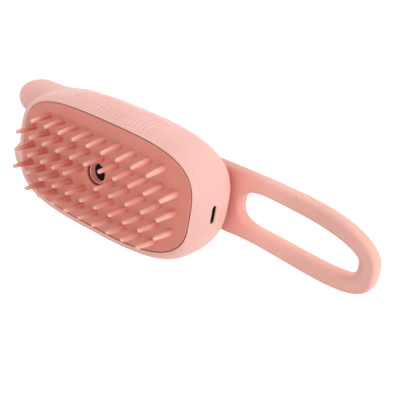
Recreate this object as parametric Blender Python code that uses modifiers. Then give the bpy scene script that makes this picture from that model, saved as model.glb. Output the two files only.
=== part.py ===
"""Pet steam grooming brush, lying on its back: bristles up (+Z), loop handle towards +X, ribbed grip side +Y.

The origin is on the flat back face that it rests on, under the middle of the bristle field.
Lengths are in metres throughout."""

import math

import bmesh
import bpy
from mathutils import Matrix, Vector

MM = 0.001
GAP = 0.3 * MM  # clearance between pieces that touch

# Bristle field
PITCH = 9.5 * MM
ROW_PITCH = 9.8 * MM
BRISTLE_LENGTH = 12.8 * MM
BRISTLE_BASE_RADIUS = 1.75 * MM
BRISTLE_TIP_RADIUS = 0.95 * MM
BRISTLE_TIP_LENGTH = 0.9 * MM
BRISTLE_SUNK = 0.9 * MM
BRISTLE_SIDES = 7
ROW_LEAN = math.radians(2.35)  # each row leans this much more towards the middle

# Bristle pad
PAD_HALF_LENGTH = 56.0 * MM
PAD_HALF_WIDTH = 28.25 * MM
PAD_EXPONENT = 3.5
PAD_THICKNESS = 2.2 * MM
PAD_CROWN = 0.5 * MM
PAD_FAR_END_INSET = 1.0 * MM  # the pad stops this much shorter of the rim at the ears' end
SEAM = 0.4 * MM

# Housing: sections are superellipses, heights are measured down from the rim
FACE_Z = 43.0 * MM
BULGE_DEPTH = 11.4 * MM
BULGE_OUT = 4.3 * MM
BODY_DEPTH = 33.3 * MM
BODY_EXPONENT = 2.85
BACK_ROUNDING = 8.7 * MM
WALL = 2.0 * MM
RIM_SHAPE = 1.55
LEDGE_DEPTH = 3.0 * MM
LEDGE_WIDTH = 3.0 * MM
BACK_OPENING_INSET = 2.6 * MM
OUTER_RING_DEPTHS = (0.25, 1.2, 3.2, 6.5, 11.4, 15.0, 19.0, 22.5, 26.0, 29.0, 31.3, 32.7)  # in millimetres
INNER_RING_DEPTHS = (30.5, 27.0, 22.0, 16.0, 10.0, 6.5)  # in millimetres

# Ears: rounded lumps on the housing's far end
EAR_X = -64.9 * MM
EAR_Y = 16.6 * MM
EAR_Z = FACE_Z - 20.1 * MM
EAR_LENGTH_RADIUS = 11.6 * MM
EAR_WIDTH_RADIUS = 9.6 * MM
EAR_DEPTH_RADIUS = 10.6 * MM

# Steam nozzle, over the wick and the tank
NOZZLE_X = -2.9 * MM
NOZZLE_Y = 0.5 * MM
NOZZLE_HOLE_RADIUS = 6.1 * MM
COLLAR_RADIUS = 8.0 * MM
COLLAR_DEPTH = 7.2 * MM
COLLAR_BORE_RADIUS = 5.85 * MM

# Handle
PIVOT_X = 38.0 * MM
HANDLE_THICKNESS = 7.4 * MM
HANDLE_MID_Z = 3.9 * MM
HANDLE_ROOT_WIDTH = 32.6 * MM
HANDLE_TIP_WIDTH = 35.2 * MM
HANDLE_TIP_X = 139.9 * MM
HANDLE_END_LENGTH = 46.8 * MM
HANDLE_END_EXPONENT = 2.7
HANDLE_EDGE_RADIUS = 2.0 * MM
HANDLE_BOW_START_X = 56.0 * MM
HANDLE_BOW = 1.65  # rise in metres per square metre past the start
SLOT_START_X = 59.3 * MM
SLOT_END_X = 131.0 * MM
SLOT_WIDTH = 17.9 * MM
SLOT_START_LENGTH = 15.6 * MM  # length of the slot's rounded start
SLOT_END_LENGTH = 43.2 * MM
SLOT_EXPONENT = 2.7
HUB_BORE_RADIUS = 5.2 * MM
HUB_RECESS_RADIUS = 9.3 * MM
HUB_RECESS_Z = 2.9 * MM
QUARTER_STEPS = 12

# Back cover: a raised plateau that holds the button, and a boss that the handle turns on
PLATE_Z = 9.9 * MM
PLATE_THICKNESS = 2.0 * MM
BOSS_FACE_Z = PLATE_Z - 1.4 * MM
PLATEAU_X = -13.0 * MM
PLATEAU_HALF_LENGTH = 27.0 * MM
PLATEAU_HALF_WIDTH = 17.0 * MM
PLATEAU_ROUNDING = 3.0 * MM
PLATEAU_EXPONENT = 3.2
PIVOT_BOSS_RADIUS = 11.0 * MM
PIVOT_SCREW_HOLE_RADIUS = 2.4 * MM
SCREW_HOLE_RADIUS = 1.6 * MM
FAR_SCREW_PLACES = ((-44.5 * MM, -8.0 * MM), (-44.5 * MM, 8.0 * MM))
NEAR_SCREW_PLACES = ((30.0 * MM, -15.6 * MM), (30.0 * MM, 15.6 * MM))
SCREW_PLACES = FAR_SCREW_PLACES + NEAR_SCREW_PLACES
SCREW_STEPS = 12
POST_RADIUS = 2.3 * MM
PILOT_RADIUS = 1.2 * MM

# Power button, and the light guide beside it
BUTTON_X = -25.0 * MM
BUTTON_RADIUS = 6.0 * MM
LIGHT_X = BUTTON_X + 11.0 * MM
LIGHT_RADIUS = 1.2 * MM

# Charging port in the handle end, and the filler plug in the side that faces -Y
PORT_Y = 1.0 * MM
PORT_Z = FACE_Z - 12.6 * MM
PORT_LENGTH = 9.3 * MM
PORT_RADIUS = 1.5 * MM
FILLER_X = -14.0 * MM
FILLER_Z = 22.0 * MM
FILLER_BORE_RADIUS = 3.9 * MM
FILLER_BOSS_LOW = (-27.0 * MM, 17.6 * MM)  # x and z
FILLER_BOSS_HIGH = (-1.0 * MM, 28.6 * MM)
NECK_RADIUS = 4.7 * MM
NECK_BORE_RADIUS = 3.4 * MM
PLUG_STEM_RADIUS = 3.2 * MM
FLAP_HALF_LENGTH = 10.0 * MM
FLAP_RADIUS = 5.8 * MM
FLAP_THICKNESS = 1.6 * MM
FLAP_SEAT_Y = -30.9 * MM
FLAP_HINGE_X = FILLER_X + FLAP_HALF_LENGTH - 0.5 * MM
FLAP_HINGE_ROOM = 1.0 * MM  # the pocket is this much longer at the hinge end, where the flap's end turns

# Water tank
TANK_LOW = (-34.0 * MM, -17.0 * MM, 12.5 * MM)
TANK_HIGH = (8.0 * MM, 17.0 * MM, 27.0 * MM)
TANK_WALL = 1.2 * MM
SEAL_FRAME = 1.6 * MM
WICK_HOLE_RADIUS = 5.3 * MM

# Boards, battery and charging socket
BOARD_TOP = PORT_Z - 2.0 * MM
BOARD_THICKNESS = 1.2 * MM
BOARD_LOW = (11.0 * MM, -9.0 * MM)
BOARD_HIGH = (56.2 * MM, 9.0 * MM)
BATTERY_LOW = (11.0 * MM, -12.0 * MM, 13.6 * MM)
BATTERY_HIGH = (45.0 * MM, 12.0 * MM, 20.8 * MM)
SOCKET_X = (50.4 * MM, 57.9 * MM)
SOCKET_HALF_WIDTH = 4.47 * MM
SOCKET_HALF_HEIGHT = 1.63 * MM

OUTLINE_POINTS = 60
TURN_STEPS = 24

for leftover in list(bpy.data.objects):
    bpy.data.objects.remove(leftover, do_unlink=True)

PARTS = bpy.data.collections.new("pet_steam_brush")
CUTTERS = bpy.data.collections.new("cutters")
bpy.context.scene.collection.children.link(PARTS)
bpy.context.scene.collection.children.link(CUTTERS)


# ---------------------------------------------------------------- materials

def material(name, colour, roughness, metallic=0.0):
    made = bpy.data.materials.new(name)
    made.use_nodes = True
    shader = made.node_tree.nodes["Principled BSDF"]
    shader.inputs["Base Color"].default_value = (*colour, 1.0)
    shader.inputs["Roughness"].default_value = roughness
    shader.inputs["Metallic"].default_value = metallic
    made.diffuse_color = (*colour, 1.0)
    return made


SHELL_PINK = material("shell_pink", (0.93, 0.55, 0.49), 0.45)
PAD_PINK = material("pad_pink", (0.60, 0.21, 0.17), 0.55)
HANDLE_PINK = material("handle_pink", (0.85, 0.44, 0.39), 0.5)
WHITE_PLASTIC = material("white_plastic", (0.8, 0.8, 0.78), 0.5)
CLEAR_PLASTIC = material("clear_plastic", (0.75, 0.85, 0.9), 0.1)
DARK_RUBBER = material("dark_rubber", (0.02, 0.02, 0.02), 0.7)
PINK_RUBBER = material("pink_rubber", (0.8, 0.35, 0.32), 0.6)
STEEL = material("steel", (0.6, 0.6, 0.62), 0.3, 1.0)
BRASS = material("brass", (0.75, 0.55, 0.25), 0.3, 1.0)
BOARD_GREEN = material("board_green", (0.02, 0.15, 0.06), 0.5)
CELL_FOIL = material("cell_foil", (0.55, 0.57, 0.6), 0.35, 0.6)
COTTON = material("cotton", (0.85, 0.83, 0.78), 0.9)


# ---------------------------------------------------------------- shape helpers

def link(obj, coat):
    PARTS.objects.link(obj)
    obj.data.materials.clear()
    obj.data.materials.append(coat)
    return obj


def mesh_object(name, form, smooth_degrees=35.0):
    """A new object from a bmesh, faces turned outwards, shaded smooth below an angle."""
    bmesh.ops.recalc_face_normals(form, faces=form.faces)
    data = bpy.data.meshes.new(name)
    form.to_mesh(data)
    form.free()
    data.shade_smooth()
    data.set_sharp_from_angle(angle=math.radians(smooth_degrees))
    return bpy.data.objects.new(name, data)


def loft(name, rings, tube=False):
    """Quads between rings of equal length. A tube joins last ring to first, else both ends are capped."""
    form = bmesh.new()
    rows = [[form.verts.new(point) for point in ring] for ring in rings]
    pairs = list(zip(rows, rows[1:]))
    if tube:
        pairs.append((rows[-1], rows[0]))
    for low, high in pairs:
        for here in range(len(low)):
            after = (here + 1) % len(low)
            form.faces.new((low[here], low[after], high[after], high[here]))
    if not tube:
        form.faces.new(rows[0])
        form.faces.new(rows[-1])
    return mesh_object(name, form)


def superellipse(half_length, half_width, exponent, centre=(0.0, 0.0), count=OUTLINE_POINTS):
    points = []
    for step in range(count):
        angle = 2 * math.pi * step / count
        cosine = math.cos(angle)
        sine = math.sin(angle)
        reach = (abs(cosine) ** exponent + abs(sine) ** exponent) ** (-1 / exponent)
        points.append((centre[0] + half_length * reach * cosine, centre[1] + half_width * reach * sine))
    return points


def level(points, height):
    return [Vector((x, y, height)) for x, y in points]


def turned(name, profile, place, coat=None):
    """A profile of (radius, height) swept round Z by a Screw modifier; it is closed or ends on the axis."""
    form = bmesh.new()
    corners = [form.verts.new((radius, 0.0, height)) for radius, height in profile]
    for here, after in zip(corners, corners[1:]):
        form.edges.new((here, after))
    if profile[0][0] > 0 or profile[-1][0] > 0:
        form.edges.new((corners[-1], corners[0]))
    data = bpy.data.meshes.new(name)
    form.to_mesh(data)
    form.free()
    obj = bpy.data.objects.new(name, data)
    screw = obj.modifiers.new("turn", "SCREW")
    screw.axis = "Z"
    screw.angle = 2 * math.pi
    screw.steps = TURN_STEPS
    screw.render_steps = TURN_STEPS
    screw.use_merge_vertices = True
    screw.merge_threshold = 0.00001
    obj.location = place
    if coat:
        link(obj, coat)
    return obj


def ring_profile(inner, outer, low, high, edge=0.0):
    """A rectangular ring section, outer side running down, with its outer corners cut by edge."""
    if edge:
        return [
            (inner, high), (outer - edge, high), (outer, high - edge),
            (outer, low + edge), (outer - edge, low), (inner, low),
        ]
    return [(inner, high), (outer, high), (outer, low), (inner, low)]


def cylinder(name, radius, low, high, place=(0.0, 0.0), segments=TURN_STEPS):
    form = bmesh.new()
    bmesh.ops.create_cone(
        form, cap_ends=True, segments=segments, radius1=radius, radius2=radius, depth=high - low,
        matrix=Matrix.Translation((place[0], place[1], (low + high) / 2)),
    )
    return mesh_object(name, form)


def side_cylinder(name, radius, low_y, high_y):
    """A cylinder along Y on the filler's centre line."""
    obj = cylinder(name, radius, (low_y - high_y) / 2, (high_y - low_y) / 2)
    obj.rotation_euler = (math.pi / 2, 0, 0)
    obj.location = (FILLER_X, (low_y + high_y) / 2, FILLER_Z)
    return obj


def block(name, low, high, edge=0.0, coat=None):
    """A box between two corners, with bevelled edges where edge is given."""
    form = bmesh.new()
    size = [b - a for a, b in zip(low, high)]
    middle = [(a + b) / 2 for a, b in zip(low, high)]
    bmesh.ops.create_cube(form, size=1.0)
    bmesh.ops.scale(form, vec=size, verts=form.verts)
    obj = mesh_object(name, form)
    obj.location = middle
    if edge:
        bevel = obj.modifiers.new("rounded_edges", "BEVEL")
        bevel.width = edge
        bevel.segments = 2
    if coat:
        link(obj, coat)
    return obj


def combine(obj, tool, operation):
    """A Boolean with a tool that stays in the cutters' collection."""
    CUTTERS.objects.link(tool)
    tool.hide_render = True
    tool.display_type = "WIRE"
    change = obj.modifiers.new(operation.lower() + "_" + tool.name, "BOOLEAN")
    change.operation = operation
    change.object = tool
    change.solver = "EXACT"
    return obj


def cut(obj, tool):
    return combine(obj, tool, "DIFFERENCE")


def join(obj, tool):
    return combine(obj, tool, "UNION")


def stadium(name, length, radius, depth, place, axis_turn):
    """A prism with round ends, its length along X and its depth along Z before it is turned."""
    form = bmesh.new()
    half = length / 2 - radius
    corners = []
    for side, start in ((1, -90), (-1, 90)):
        for step in range(9):
            angle = math.radians(start + step * 22.5)
            corners.append((side * half + radius * math.cos(angle), radius * math.sin(angle)))
    bottom = [form.verts.new((x, y, -depth / 2)) for x, y in corners]
    top = [form.verts.new((x, y, depth / 2)) for x, y in corners]
    form.faces.new(bottom)
    form.faces.new(top)
    for here in range(len(corners)):
        after = (here + 1) % len(corners)
        form.faces.new((bottom[here], bottom[after], top[after], top[here]))
    obj = mesh_object(name, form)
    obj.location = place
    obj.rotation_euler = axis_turn
    return obj


# ---------------------------------------------------------------- housing sections

def body_section(depth):
    """Half length, half width and exponent of the housing's outside at a depth below the rim."""
    start = SEAM + GAP
    if depth <= BULGE_DEPTH:
        grown = (1 - (1 - depth / BULGE_DEPTH) ** RIM_SHAPE) ** (1 / RIM_SHAPE)
        out = start + (BULGE_OUT - GAP) * grown
        exponent = PAD_EXPONENT + (BODY_EXPONENT - PAD_EXPONENT) * grown
    else:
        drop = min((depth - BULGE_DEPTH) / (BODY_DEPTH - BULGE_DEPTH), 1.0)
        out = start + BULGE_OUT - GAP - BACK_ROUNDING * (1 - math.sqrt(1 - drop * drop))
        exponent = BODY_EXPONENT
    return PAD_HALF_LENGTH + out, PAD_HALF_WIDTH + out, exponent


def housing_ring(depth, inset=0.0):
    half_length, half_width, exponent = body_section(depth)
    return level(superellipse(half_length - inset, half_width - inset, exponent), FACE_Z - depth)


def ear(side):
    """One ear as a stretched ball; its inner end is buried in the housing's wall."""
    form = bmesh.new()
    bmesh.ops.create_uvsphere(form, u_segments=20, v_segments=12, radius=1.0)
    bmesh.ops.scale(form, vec=(EAR_LENGTH_RADIUS, EAR_WIDTH_RADIUS, EAR_DEPTH_RADIUS), verts=form.verts)
    obj = mesh_object(f"ear_{'left' if side > 0 else 'right'}", form)
    obj.location = (EAR_X, side * EAR_Y, EAR_Z)
    return obj


def back_opening(inset):
    half_length, half_width, exponent = body_section(BODY_DEPTH)
    away = BACK_OPENING_INSET + inset
    return superellipse(half_length - away, half_width - away, exponent)


def pad_outline(outset=0.0, scale=1.0):
    """The pad's outline, its half towards the ears a little shorter."""
    points = superellipse((PAD_HALF_LENGTH + outset) * scale, (PAD_HALF_WIDTH + outset) * scale, PAD_EXPONENT)
    far_end = 1 - PAD_FAR_END_INSET / PAD_HALF_LENGTH
    return [(x * far_end if x < 0 else x, y) for x, y in points]


# ---------------------------------------------------------------- housing and pad

def front_shell():
    rings = [housing_ring(depth * MM) for depth in OUTER_RING_DEPTHS]
    rings.append(housing_ring(BODY_DEPTH))
    rings.append(level(back_opening(0.0), FACE_Z - BODY_DEPTH))
    rings.append(level(back_opening(0.0), FACE_Z - BODY_DEPTH + WALL))
    for depth in INNER_RING_DEPTHS:
        rings.append(housing_ring(depth * MM, inset=WALL))
    ledge_under = LEDGE_DEPTH + WALL
    rings.append(housing_ring(ledge_under, inset=WALL))
    rings.append(level(pad_outline(-LEDGE_WIDTH), FACE_Z - ledge_under))
    rings.append(level(pad_outline(-LEDGE_WIDTH), FACE_Z - LEDGE_DEPTH))
    rings.append(level(pad_outline(SEAM), FACE_Z - LEDGE_DEPTH))
    rings.append(level(pad_outline(SEAM), FACE_Z - 0.4 * MM))
    rings.append(level(pad_outline(SEAM + GAP), FACE_Z))
    shell = loft("front_shell", rings, tube=True)
    link(shell, SHELL_PINK)
    for side in (-1, 1):
        join(shell, ear(side))
    port_place = (PAD_HALF_LENGTH + BULGE_OUT, PORT_Y, PORT_Z)
    end_turn = (math.pi / 2, 0, math.pi / 2)
    cut(shell, stadium("port_cutter", PORT_LENGTH, PORT_RADIUS, 14 * MM, port_place, end_turn))
    boss_low = (FILLER_BOSS_LOW[0], FLAP_SEAT_Y + 0.05 * MM, FILLER_BOSS_LOW[1])
    boss_high = (FILLER_BOSS_HIGH[0], FLAP_SEAT_Y + 2.5 * MM, FILLER_BOSS_HIGH[1])
    join(shell, block("filler_boss", boss_low, boss_high))
    pocket_place = (FILLER_X + FLAP_HINGE_ROOM / 2, FLAP_SEAT_Y - 4 * MM, FILLER_Z)
    pocket_length = 2 * FLAP_HALF_LENGTH + 1 * MM + FLAP_HINGE_ROOM
    side_turn = (math.pi / 2, 0, 0)
    cut(shell, stadium("flap_pocket", pocket_length, FLAP_RADIUS + 0.5 * MM, 8 * MM, pocket_place, side_turn))
    cut(shell, side_cylinder("filler_cutter", FILLER_BORE_RADIUS, -45 * MM, -21 * MM))
    return shell


def bristle(form, x, y):
    """One tapered bristle with a rounded tip, its foot sunk into the pad."""
    lean = ROW_LEAN * y / ROW_PITCH
    up = Vector((0.0, -math.sin(lean), math.cos(lean)))
    side = Vector((0.0, math.cos(lean), math.sin(lean)))
    foot = Vector((x, y, pad_height(x, y)))
    stations = (
        (-BRISTLE_SUNK, BRISTLE_BASE_RADIUS + 0.05 * MM),
        (BRISTLE_LENGTH - BRISTLE_TIP_LENGTH, BRISTLE_TIP_RADIUS + 0.05 * MM),
        (BRISTLE_LENGTH - 0.15 * MM, BRISTLE_TIP_RADIUS * 0.55),
    )
    rows = []
    for along, radius in stations:
        centre = foot + up * along
        row = []
        for step in range(BRISTLE_SIDES):
            angle = 2 * math.pi * step / BRISTLE_SIDES
            away = Vector((radius * math.cos(angle), 0.0, 0.0)) + side * radius * math.sin(angle)
            row.append(form.verts.new(centre + away))
        rows.append(row)
    for low, high in zip(rows, rows[1:]):
        for here in range(BRISTLE_SIDES):
            after = (here + 1) % BRISTLE_SIDES
            form.faces.new((low[here], low[after], high[after], high[here]))
    form.faces.new(rows[0][::-1])
    form.faces.new(rows[-1])


def bristle_places():
    """Five rows of up to eleven; the corners are left out, and the middle row parts round the nozzle."""
    places = []
    for row in range(-2, 3):
        reach = 4 if abs(row) == 2 else 5
        for column in range(-reach, reach + 1):
            if row == 0 and column == 0:
                continue
            x = column * PITCH
            if row == 0 and column in (-1, -2):
                x -= (3 + column) * 1.5 * MM
            if row == 0 and column in (1, 2):
                x -= 1.0 * MM
            places.append((x, row * ROW_PITCH))
    return places


def pad_height(x, y):
    """Top of the pad: a slight crown across its width."""
    return FACE_Z + PAD_CROWN * (1 - 2 * (y / PAD_HALF_WIDTH) ** 2) / 2


def bristle_pad():
    rings = [level(pad_outline(scale=0.35), FACE_Z - PAD_THICKNESS)]
    rings.append(level(pad_outline(), FACE_Z - PAD_THICKNESS))
    edge = pad_outline()
    rings.append([Vector((x, y, pad_height(x, y) - 0.5 * MM)) for x, y in edge])
    for scale in (0.985, 0.8, 0.55, 0.3):
        rings.append([Vector((x, y, pad_height(x, y))) for x, y in pad_outline(scale=scale)])
    pad = loft("bristle_pad", rings)
    link(pad, PAD_PINK)
    form = bmesh.new()
    for x, y in bristle_places():
        bristle(form, x, y)
    join(pad, mesh_object("bristles", form))
    hole = cylinder("nozzle_hole", NOZZLE_HOLE_RADIUS, FACE_Z - 8 * MM, FACE_Z + 8 * MM, (NOZZLE_X, NOZZLE_Y))
    cut(pad, hole)
    return pad


def pad_carrier():
    """The stiff plate under the pad, with the nozzle's collar and posts that the case screws bite into."""
    top = FACE_Z - PAD_THICKNESS - GAP
    under = top - 1.6 * MM
    edge = pad_outline(-LEDGE_WIDTH - 0.5 * MM)
    rings = [level(edge, height) for height in (under, FACE_Z - LEDGE_DEPTH - GAP, top)]
    carrier = loft("pad_carrier", rings)
    link(carrier, SHELL_PINK)
    centre = (NOZZLE_X, NOZZLE_Y)
    collar = cylinder("nozzle_collar", COLLAR_RADIUS, FACE_Z - COLLAR_DEPTH, under + 0.5 * MM, centre)
    join(carrier, collar)
    for number, place in enumerate(SCREW_PLACES):
        foot = PLATE_Z + PLATE_THICKNESS + GAP
        join(carrier, cylinder(f"post_{number}", POST_RADIUS, foot, under + 0.5 * MM, place, SCREW_STEPS))
        pilot = cylinder(f"pilot_{number}", PILOT_RADIUS, PLATE_Z, PLATE_Z + 12 * MM, place, SCREW_STEPS)
        cut(carrier, pilot)
    hole = cylinder("collar_bore", COLLAR_BORE_RADIUS, FACE_Z - 9 * MM, FACE_Z + 1 * MM, centre)
    cut(carrier, hole)
    return carrier


# ---------------------------------------------------------------- back cover

def plateau_ring(inset, height):
    half_length = PLATEAU_HALF_LENGTH - inset
    half_width = PLATEAU_HALF_WIDTH - inset
    return level(superellipse(half_length, half_width, PLATEAU_EXPONENT, (PLATEAU_X, 0.0), 40), height)


def back_cover():
    edge = back_opening(GAP + 0.05 * MM)
    cover = loft("back_cover", [level(edge, PLATE_Z + PLATE_THICKNESS), level(edge, PLATE_Z)])
    link(cover, SHELL_PINK)
    outside = [
        plateau_ring(-0.5 * MM, PLATE_Z + 0.6 * MM),
        plateau_ring(0.0, PLATEAU_ROUNDING),
        plateau_ring(0.29 * PLATEAU_ROUNDING, 0.29 * PLATEAU_ROUNDING),
        plateau_ring(PLATEAU_ROUNDING, 0.0),
    ]
    join(cover, loft("plateau", outside))
    inside = [
        plateau_ring(WALL, PLATE_Z + PLATE_THICKNESS + 2 * MM),
        plateau_ring(WALL, PLATEAU_ROUNDING),
        plateau_ring(WALL + 0.8 * PLATEAU_ROUNDING, WALL),
    ]
    cut(cover, loft("plateau_hollow", inside))
    pivot = (PIVOT_X, 0.0)
    join(cover, cylinder("pivot_boss", PIVOT_BOSS_RADIUS, BOSS_FACE_Z, PLATE_Z + 0.5 * MM, pivot))
    cut(cover, cylinder("pivot_hole", PIVOT_SCREW_HOLE_RADIUS, 0.0, 15 * MM, pivot, 12))
    cut(cover, cylinder("button_hole", BUTTON_RADIUS + GAP, -2 * MM, 5 * MM, (BUTTON_X, 0.0)))
    cut(cover, cylinder("lamp_hole", LIGHT_RADIUS + GAP, -2 * MM, 5 * MM, (LIGHT_X, 0.0), 12))
    for number, place in enumerate(SCREW_PLACES):
        cut(cover, cylinder(f"screw_hole_{number}", SCREW_HOLE_RADIUS, 5 * MM, 15 * MM, place, SCREW_STEPS))
    return cover


def case_screws():
    head_top = PLATE_Z - GAP
    for number, (x, y) in enumerate(SCREW_PLACES):
        profile = [
            (0.0, PLATE_Z + 9 * MM), (0.9 * MM, PLATE_Z + 8.2 * MM), (0.9 * MM, head_top),
            (2.3 * MM, head_top), (1.9 * MM, head_top - 1.0 * MM), (0.8 * MM, head_top - 1.3 * MM),
            (0.0, head_top - 1.3 * MM),
        ]
        screw = turned(f"case_screw_{number + 1}", profile, (x, y, 0.0), STEEL)
        screw.modifiers["turn"].steps = SCREW_STEPS
        screw.modifiers["turn"].render_steps = SCREW_STEPS


# ---------------------------------------------------------------- handle

def end_point(centre_x, length, half_width, exponent, angle):
    """A point on a superellipse centred on the X axis."""
    reach = (abs(math.cos(angle)) ** exponent + abs(math.sin(angle)) ** exponent) ** (-1 / exponent)
    return centre_x + length * reach * math.cos(angle), half_width * reach * math.sin(angle)


def handle_outline(inset):
    """Round hub end about the pivot, slightly widening sides, a long rounded tip; in step with the slot."""
    root = HANDLE_ROOT_WIDTH / 2
    tip = HANDLE_TIP_WIDTH / 2
    end_start = HANDLE_TIP_X - HANDLE_END_LENGTH
    points = []
    for step in range(-QUARTER_STEPS, QUARTER_STEPS + 1):
        angle = math.pi / 2 * step / QUARTER_STEPS
        length = HANDLE_END_LENGTH - inset
        points.append(end_point(end_start, length, tip - inset, HANDLE_END_EXPONENT, angle))
    for step in range(-QUARTER_STEPS, QUARTER_STEPS + 1):
        angle = math.pi + math.pi / 2 * step / QUARTER_STEPS
        points.append(end_point(PIVOT_X, root - inset, root - inset, 2.0, angle))
    return points


def slot_outline(inset):
    """The finger slot, with as many points as the handle's outline."""
    half = SLOT_WIDTH / 2 + inset
    points = []
    for centre, length, start in (
        (SLOT_END_X - SLOT_END_LENGTH, SLOT_END_LENGTH + inset, 0.0),
        (SLOT_START_X + SLOT_START_LENGTH, SLOT_START_LENGTH + inset, math.pi),
    ):
        for step in range(-QUARTER_STEPS, QUARTER_STEPS + 1):
            angle = start + math.pi / 2 * step / QUARTER_STEPS
            points.append(end_point(centre, length, half, SLOT_EXPONENT, angle))
    return points


def bowed(points, height):
    """The handle rises towards the bristle side as it leaves the body."""
    rise = [HANDLE_BOW * max(x - HANDLE_BOW_START_X, 0.0) ** 2 for x, y in points]
    return [Vector((x, y, HANDLE_MID_Z + height + more)) for (x, y), more in zip(points, rise)]


def handle():
    flat = HANDLE_THICKNESS / 2
    radius = HANDLE_EDGE_RADIUS
    outside = []
    inside = []
    for angle in (-90, -55, -20, 20, 55, 90):
        turn = math.radians(angle)
        inset = radius * (1 - math.cos(turn))
        height = (flat - radius) * math.copysign(1, angle) + radius * math.sin(turn)
        outside.append(bowed(handle_outline(inset), height))
        inside.append(bowed(slot_outline(inset), height))
    loop = loft("handle", outside + inside[::-1], tube=True)
    link(loop, HANDLE_PINK)
    cut(loop, cylinder("hub_bore", HUB_BORE_RADIUS, -5 * MM, 15 * MM, (PIVOT_X, 0.0)))
    cut(loop, cylinder("hub_recess", HUB_RECESS_RADIUS, -5 * MM, HUB_RECESS_Z, (PIVOT_X, 0.0)))
    return loop


def pivot_pieces():
    """The handle turns on a flanged bush that a screw and a nut clamp to the back cover."""
    centre = (PIVOT_X, 0.0, 0.0)
    handle_top = HANDLE_MID_Z + HANDLE_THICKNESS / 2
    washer = ring_profile(5.6 * MM, 9.0 * MM, handle_top + GAP, BOSS_FACE_Z - GAP)
    turned("pivot_washer", washer, centre, STEEL)
    bush = [
        (1.3 * MM, BOSS_FACE_Z - GAP), (4.9 * MM, BOSS_FACE_Z - GAP), (4.9 * MM, 2.6 * MM),
        (8.9 * MM, 2.6 * MM), (8.9 * MM, 1.7 * MM), (1.3 * MM, 1.7 * MM),
    ]
    turned("pivot_bush", bush, centre, WHITE_PLASTIC)
    screw = [
        (0.0, 13.2 * MM), (1.0 * MM, 13.0 * MM), (1.0 * MM, 1.4 * MM), (2.8 * MM, 1.4 * MM),
        (2.8 * MM, 1.0 * MM), (2.0 * MM, 0.7 * MM), (0.0, 0.7 * MM),
    ]
    turned("pivot_screw", screw, centre, STEEL)
    inside_face = PLATE_Z + PLATE_THICKNESS + GAP
    turned("pivot_nut", ring_profile(1.3 * MM, 3.2 * MM, inside_face, inside_face + 1.0 * MM), centre, STEEL)
    cap = [
        (0.0, 0.4 * MM), (3.4 * MM, 0.4 * MM), (3.4 * MM, 1.4 * MM), (8.9 * MM, 1.4 * MM),
        (8.9 * MM, 0.5 * MM), (8.5 * MM, 0.1 * MM), (0.0, 0.1 * MM),
    ]
    turned("hub_cap", cap, centre, HANDLE_PINK)


# ---------------------------------------------------------------- steam parts

def nozzle_parts():
    """From the top down: nozzle cap, seal, and the holder that carries the vibrating disc."""
    centre = (NOZZLE_X, NOZZLE_Y, FACE_Z)
    cap = [
        (5.0 * MM, -3.3 * MM), (5.45 * MM, -3.0 * MM), (5.45 * MM, -7.4 * MM), (3.6 * MM, -7.4 * MM),
        (3.6 * MM, -6.6 * MM), (4.5 * MM, -5.9 * MM), (4.8 * MM, -5.9 * MM),
    ]
    turned("nozzle_cap", cap, centre, PINK_RUBBER)
    seal = ring_profile(5.0 * MM, 8.0 * MM, -8.6 * MM, -7.7 * MM)
    turned("nozzle_seal", seal, centre, DARK_RUBBER)
    holder = [
        (5.0 * MM, -8.9 * MM), (9.4 * MM, -8.9 * MM), (9.4 * MM, -11.6 * MM), (4.4 * MM, -11.6 * MM),
        (4.4 * MM, -10.7 * MM), (8.1 * MM, -10.7 * MM), (8.1 * MM, -9.6 * MM), (5.0 * MM, -9.6 * MM),
    ]
    turned("atomiser_holder", holder, centre, DARK_RUBBER)
    disc = [
        (0.0, -9.9 * MM), (7.8 * MM, -9.9 * MM), (7.8 * MM, -10.4 * MM), (0.0, -10.4 * MM),
    ]
    turned("atomiser_disc", disc, centre, BRASS)


def wick_parts():
    centre = (NOZZLE_X, NOZZLE_Y, 0.0)
    tube = [
        (3.9 * MM, 31.1 * MM), (7.0 * MM, 31.1 * MM), (7.0 * MM, 30.1 * MM), (4.9 * MM, 30.1 * MM),
        (4.9 * MM, 14.6 * MM), (1.5 * MM, 14.6 * MM), (1.5 * MM, 15.6 * MM), (3.9 * MM, 15.6 * MM),
    ]
    turned("wick_tube", tube, centre, WHITE_PLASTIC)
    wick = [
        (0.0, 32.2 * MM), (3.0 * MM, 32.2 * MM), (3.5 * MM, 31.7 * MM),
        (3.5 * MM, 21.2 * MM), (0.0, 21.2 * MM),
    ]
    turned("wick", wick, centre, COTTON)
    wick_spring()


def wick_spring():
    """An open compression spring that holds the wick up against the disc."""
    turns = 4
    per_turn = 12
    low = 16.3 * MM
    high = 20.5 * MM
    radius = 2.9 * MM
    data = bpy.data.curves.new("wick_spring", "CURVE")
    data.dimensions = "3D"
    line = data.splines.new("POLY")
    count = turns * per_turn + 1
    line.points.add(count - 1)
    for step in range(count):
        angle = 2 * math.pi * step / per_turn
        along = step / (count - 1)
        height = low + (high - low) * along
        line.points[step].co = (radius * math.cos(angle), radius * math.sin(angle), height, 1.0)
    data.bevel_depth = 0.3 * MM
    data.bevel_resolution = 1
    data.use_fill_caps = True
    spring = bpy.data.objects.new("wick_spring", data)
    spring.location = (NOZZLE_X, NOZZLE_Y, 0.0)
    link(spring, STEEL)


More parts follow.
